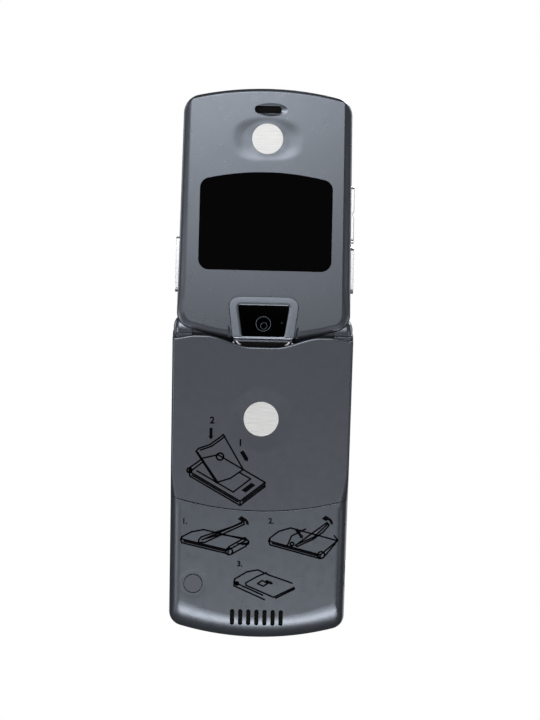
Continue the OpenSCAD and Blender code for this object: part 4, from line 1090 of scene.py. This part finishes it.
def draw_door_lifting():
    at = sketch((-23.4, 8.0), (14.6, -3.2), (5.4, 3.2))
    lid = [(-17.6, 8.7), (-16.8, 9.7), (-7.6, 13.0), (-4.4, 14.7), (-4.2, 13.8), (-15.7, 8.1),
           (-17.5, 8.0), (-17.6, 8.7)]
    lines = lying_phone(at) + [lid, [(-16.6, 8.8), (-4.9, 14.2)], ring(-8.5, 5.5, 1.0)]
    lines += [[(-15.7, 9.2), (-11.1, 10.6), (-4.2, 9.6)], [(-8.8, 6.8), (-3.9, 9.8)],
              [(-7.5, 4.9), (-3.6, 7.2), (-2.8, 8.7), (-4.0, 9.8)]]
    wedge = [(-6.7, 8.1), (-2.4, 8.4), (-2.8, 7.6), (-4.6, 7.5)]
    return lines, [bent_arrow(-4.8, 13.9), wedge]


def draw_pack_lifting():
    at = sketch((2.6, 8.0), (15.8, -4.0), (5.0, 4.4))
    pack = [(11.0, 7.8), (20.2, 14.9), (20.8, 14.1), (19.0, 11.9), (16.1, 9.7), (11.6, 7.5),
            (11.0, 7.8)]
    lines = lying_phone(at) + [pack, [(11.4, 8.1), (16.4, 10.4), (20.2, 14.3)]]
    lines += [[(8.6, 7.6), (9.8, 10.6), (13.9, 12.8)], ring(18.7, 5.1, 1.0), ring(10.0, 8.2, 0.5),
              [(19.6, 4.6), (22.6, 8.4), (23.3, 9.9), (22.4, 11.0)]]
    return lines, [bent_arrow(20.0, 14.6), fat_arrow(13.2, 9.9, 38, 3.5, 0.4, 0.7)]


def draw_card_slot():
    at = sketch((-7.6, -4.5), (12.4, -5.4), (6.2, 4.2))
    top = at((0.75, 0, 1), (0.06, 0, 1), (0, 0.15, 1), (0.01, 0.7, 1), (0.12, 1, 1), (0.4, 1, 1))
    lines = [top, at((0, 0.15, 1), (0.06, 0, 0), (0.8, 0, 0)), ring(-6.0, -4.1, 0.45),
             at((0.3, 1.05, 1), (0.26, 0.7, 1), (0.24, 0.2, 1), (0.3, 0.1, 1), (0.95, 0.12, 1),
                (1.02, 0.95, 1)),
             at((1.0, 0.12, 1), (1.06, 0.9, 1)), at((0.4, 1.0, 1), (0.9, 1.1, 1)),
             at((0.42, 0.4, 1), (0.42, 0.62, 1), (0.56, 0.62, 1), (0.56, 0.4, 1), (0.42, 0.4, 1))]
    return lines, [fat_arrow(4.7, -4.0, 68, 2.4, 0.4, 0.6)]


def print_pictograms():
    """The battery pictograms and their numbers."""
    for name, draw, body in (("door_fitting", draw_door_fitting, "door"),
                             ("door_lifting", draw_door_lifting, "base"),
                             ("pack_lifting", draw_pack_lifting, "base"),
                             ("card_slot", draw_card_slot, "base")):
        lines, shapes = draw()
        printed(name + "_drawing", lines, shapes, BASE, body)
    marks = (("2", -14.3, 44.6, 2.8, "door"), ("1", -5.9, 38.1, 2.8, "door"),
             ("1.", -21.8, 14.3, 2.3, "base"), ("2.", 3.7, 14.9, 2.3, "base"),
             ("3.", -5.3, 1.8, 2.3, "base"))
    for i, (text, x, y, size, body) in enumerate(marks):
        numeral(f"step_number_{i}", text, size, BASE @ Matrix.Translation((x, y, 0)), body)


LENS_Z = 6.39


def add_lens():
    """The lens's rim, its iris and the small dot beside it."""
    printed("lens_rim", [ring(0, 1.5, 2.15)], [], LID, "lid", LENS_Z, 0.2, 0.04, LENS_METAL)
    printed("lens_iris", [ring(0.15, 0.9, 0.95)], [circle(5.4, 1.9, 0.14, 12)], LID, "lid",
            LENS_Z, 0.16, ink=LENS_METAL)


def key_place(node):
    """The middle of a key's top, in the keypad's frame."""
    low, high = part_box(node)
    x, z = (low[0] + high[0]) / 2, (low[2] + high[2]) / 2
    return -x / MM, z / MM, high[1] / MM


DIGIT_SIZE = 3.8
SIGN_PEN = 0.4
HANDSET = np.vstack([[(-2.2, -0.9)], arc(0, -1.6, 2.6, math.radians(150), math.radians(30), 9),
                     [(2.2, -0.9)]])


def label_keys():
    """Numbers on the digit keys and plain signs on the others."""
    texts = {f"key_{i}": str(i) for i in range(10)} | {"key_star": "*", "key_hash": "#"}
    for node, text in texts.items():
        place = Matrix.Translation(key_place(node))
        numeral(node + "_number", text, DIGIT_SIZE, KEYPAD @ place, node)
    dash = [(-1.4, 0), (1.4, 0)]
    back = [[(-1.6, 0), (1.6, 0)], [(-0.7, 0.8), (-1.6, 0), (-0.7, -0.8)]]
    signs = {"left_soft_key": [dash], "right_soft_key": [dash], "clear_key": back,
             "send_key": [HANDSET * [1, -1]], "end_key": [HANDSET],
             "centre_key": [ring(0, 0, 1.5)]}
    for node, lines in signs.items():
        x, y, z = key_place(node)
        place = KEYPAD @ Matrix.Translation((x, y, 0))
        printed(node + "_sign", lines, [], place, node, z - PRINT_SINK, SIGN_PEN)
    x, y, z = key_place("four_way_ring")
    arrows = [turned([(-0.9, 7.1), (0.9, 7.1), (0, 8.3)], x, y, a) for a in (0, 90, 180, 270)]
    printed("ring_arrows", [], arrows, KEYPAD, "ring", z - PRINT_SINK)


# ---- stage and light ----------------------------------------------------------------------------

SKY_R = 3.5
FLOOR_HALF = 3
SKY_COLOUR = (0.92, 0.96, 1.0, 1)
SKY_STRENGTH = 0.08


def white_stage():
    low = min(CAD_BOX[0][2], CAD_BOX[1][2])
    material = bpy.data.materials.new("studio_white")
    material.use_nodes = True
    tree = material.node_tree
    tree.nodes.clear()
    glow = tree.nodes.new("ShaderNodeEmission")
    out = tree.nodes.new("ShaderNodeOutputMaterial")
    tree.links.new(glow.outputs[0], out.inputs["Surface"])
    work = bmesh.new()
    bmesh.ops.create_icosphere(work, subdivisions=4, radius=SKY_R)
    sky = bpy.data.meshes.new("backdrop")
    work.to_mesh(sky)
    work.free()
    floor = bpy.data.meshes.new("floor")
    corners = [(x * FLOOR_HALF, y * FLOOR_HALF, low)
               for x, y in ((-1, -1), (1, -1), (1, 1), (-1, 1))]
    floor.from_pydata(corners, [], [(0, 1, 2, 3)])
    for mesh in (sky, floor):
        obj = bpy.data.objects.new(mesh.name, mesh)
        SCENE.collection.objects.link(obj)
        mesh.materials.append(material)
        obj.visible_diffuse = obj.visible_glossy = obj.visible_transmission = False
        obj.visible_shadow = obj.visible_volume_scatter = False


def softbox(name, place, target, width, height, power):
    data = bpy.data.lights.new(name, "AREA")
    data.shape = "RECTANGLE"
    data.size, data.size_y = width, height
    data.energy = power
    light = bpy.data.objects.new(name, data)
    SCENE.collection.objects.link(light)
    aim = Vector(target) - Vector(place)
    light.matrix_world = (Matrix.Translation(Vector(place))
                          @ aim.to_track_quat("-Z", "Y").to_matrix().to_4x4())


white_stage()
world = bpy.data.worlds.new("studio")
world.use_nodes = True
sky_light = world.node_tree.nodes["Background"].inputs
sky_light["Color"].default_value = SKY_COLOUR
sky_light["Strength"].default_value = SKY_STRENGTH
SCENE.world = world
SCENE.view_settings.view_transform = "Standard"

# Name, place, point that it faces, width, height and power, in metres and watts.
LIGHTS = [
    ("key", (-0.08, -0.30, 0.42), (0, 0.02, 0.12), 0.26, 0.18, 0.7),
    ("key_wide", (-0.10, -0.36, 0.36), (0, 0.02, 0.13), 0.4, 0.22, 0.4),
    ("low_front", (0.04, -0.5, -0.31), (0, 0, -0.01), 0.46, 0.15, 1.65),
    ("front", (0, -1.0, -0.06), (0, 0, 0.03), 0.9, 0.4, 0.5),
    ("left_front", (-0.75, -0.55, 0.1), (0, 0, 0.06), 0.35, 0.5, 1.3),
    ("right_front", (0.75, -0.55, 0.1), (0, 0, 0.06), 0.35, 0.5, 0.6),
    ("keypad_high", (0.5, 0.9, 0.8), (0, 0, 0.06), 0.7, 0.5, 20),
    ("keypad_low", (0.75, 0.8, -0.3), (0, 0, 0.04), 0.6, 0.6, 1.6),
    ("left_low", (-0.7, -0.75, -0.4), (0, 0, 0.03), 0.6, 0.6, 0.9),
    ("right_side", (0.9, 0.35, 0.3), (0, 0, 0.06), 0.3, 0.6, 1.5),
    ("left_side", (-0.9, 0.35, 0.3), (0, 0, 0.06), 0.3, 0.6, 1.5),
]
for light in LIGHTS:
    softbox(*light)

# ---- pieces -------------------------------------------------------------------------------------

ROUNDED = {"key_metal": 0.2, "side_key_metal": 0.2, "brushed_disc": 0.06, "rubber_black": 0.2,
           "black_plastic": 0.12, "window_glass": 0.06, "rubber_grey": 0.15}
FLAT = math.radians(1)
ROUND_FROM = math.radians(40)


def round_edges(obj, width):
    """Rounds the sharp edges of a CAD node by modifiers alone."""
    obj.modifiers.new("weld", "WELD").merge_threshold = CAD_WELD
    flat = obj.modifiers.new("flat", "DECIMATE")
    flat.decimate_type = "DISSOLVE"
    flat.angle_limit = FLAT
    edge = obj.modifiers.new("edge", "BEVEL")
    edge.width = width * MM
    edge.segments = 2
    edge.limit_method = "ANGLE"
    edge.angle_limit = ROUND_FROM
    edge.harden_normals = True


HOUSINGS = [(lid_outer_cover, "lid"), (camera_surround, "lid"), (lid_inner_frame, "lid"),
            (base_rear_housing, "base"), (battery_door, "door"), (base_front_housing, "base")]
for make, body in HOUSINGS:
    housing = make()
    finish_with(housing, SLOTS[make.__name__])
    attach(housing, body)
    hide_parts(make.__name__)

done = [make.__name__ for make, body in HOUSINGS]
for name, node in NODES.items():
    if name not in done:
        for slot in node.material_slots:
            slot.material = OTHER_FINISH.get(name, MATERIALS[SLOTS[name]])
        if SLOTS[name] in ROUNDED:
            round_edges(node, ROUNDED[SLOTS[name]])
print_pictograms()
add_lens()
label_keys()
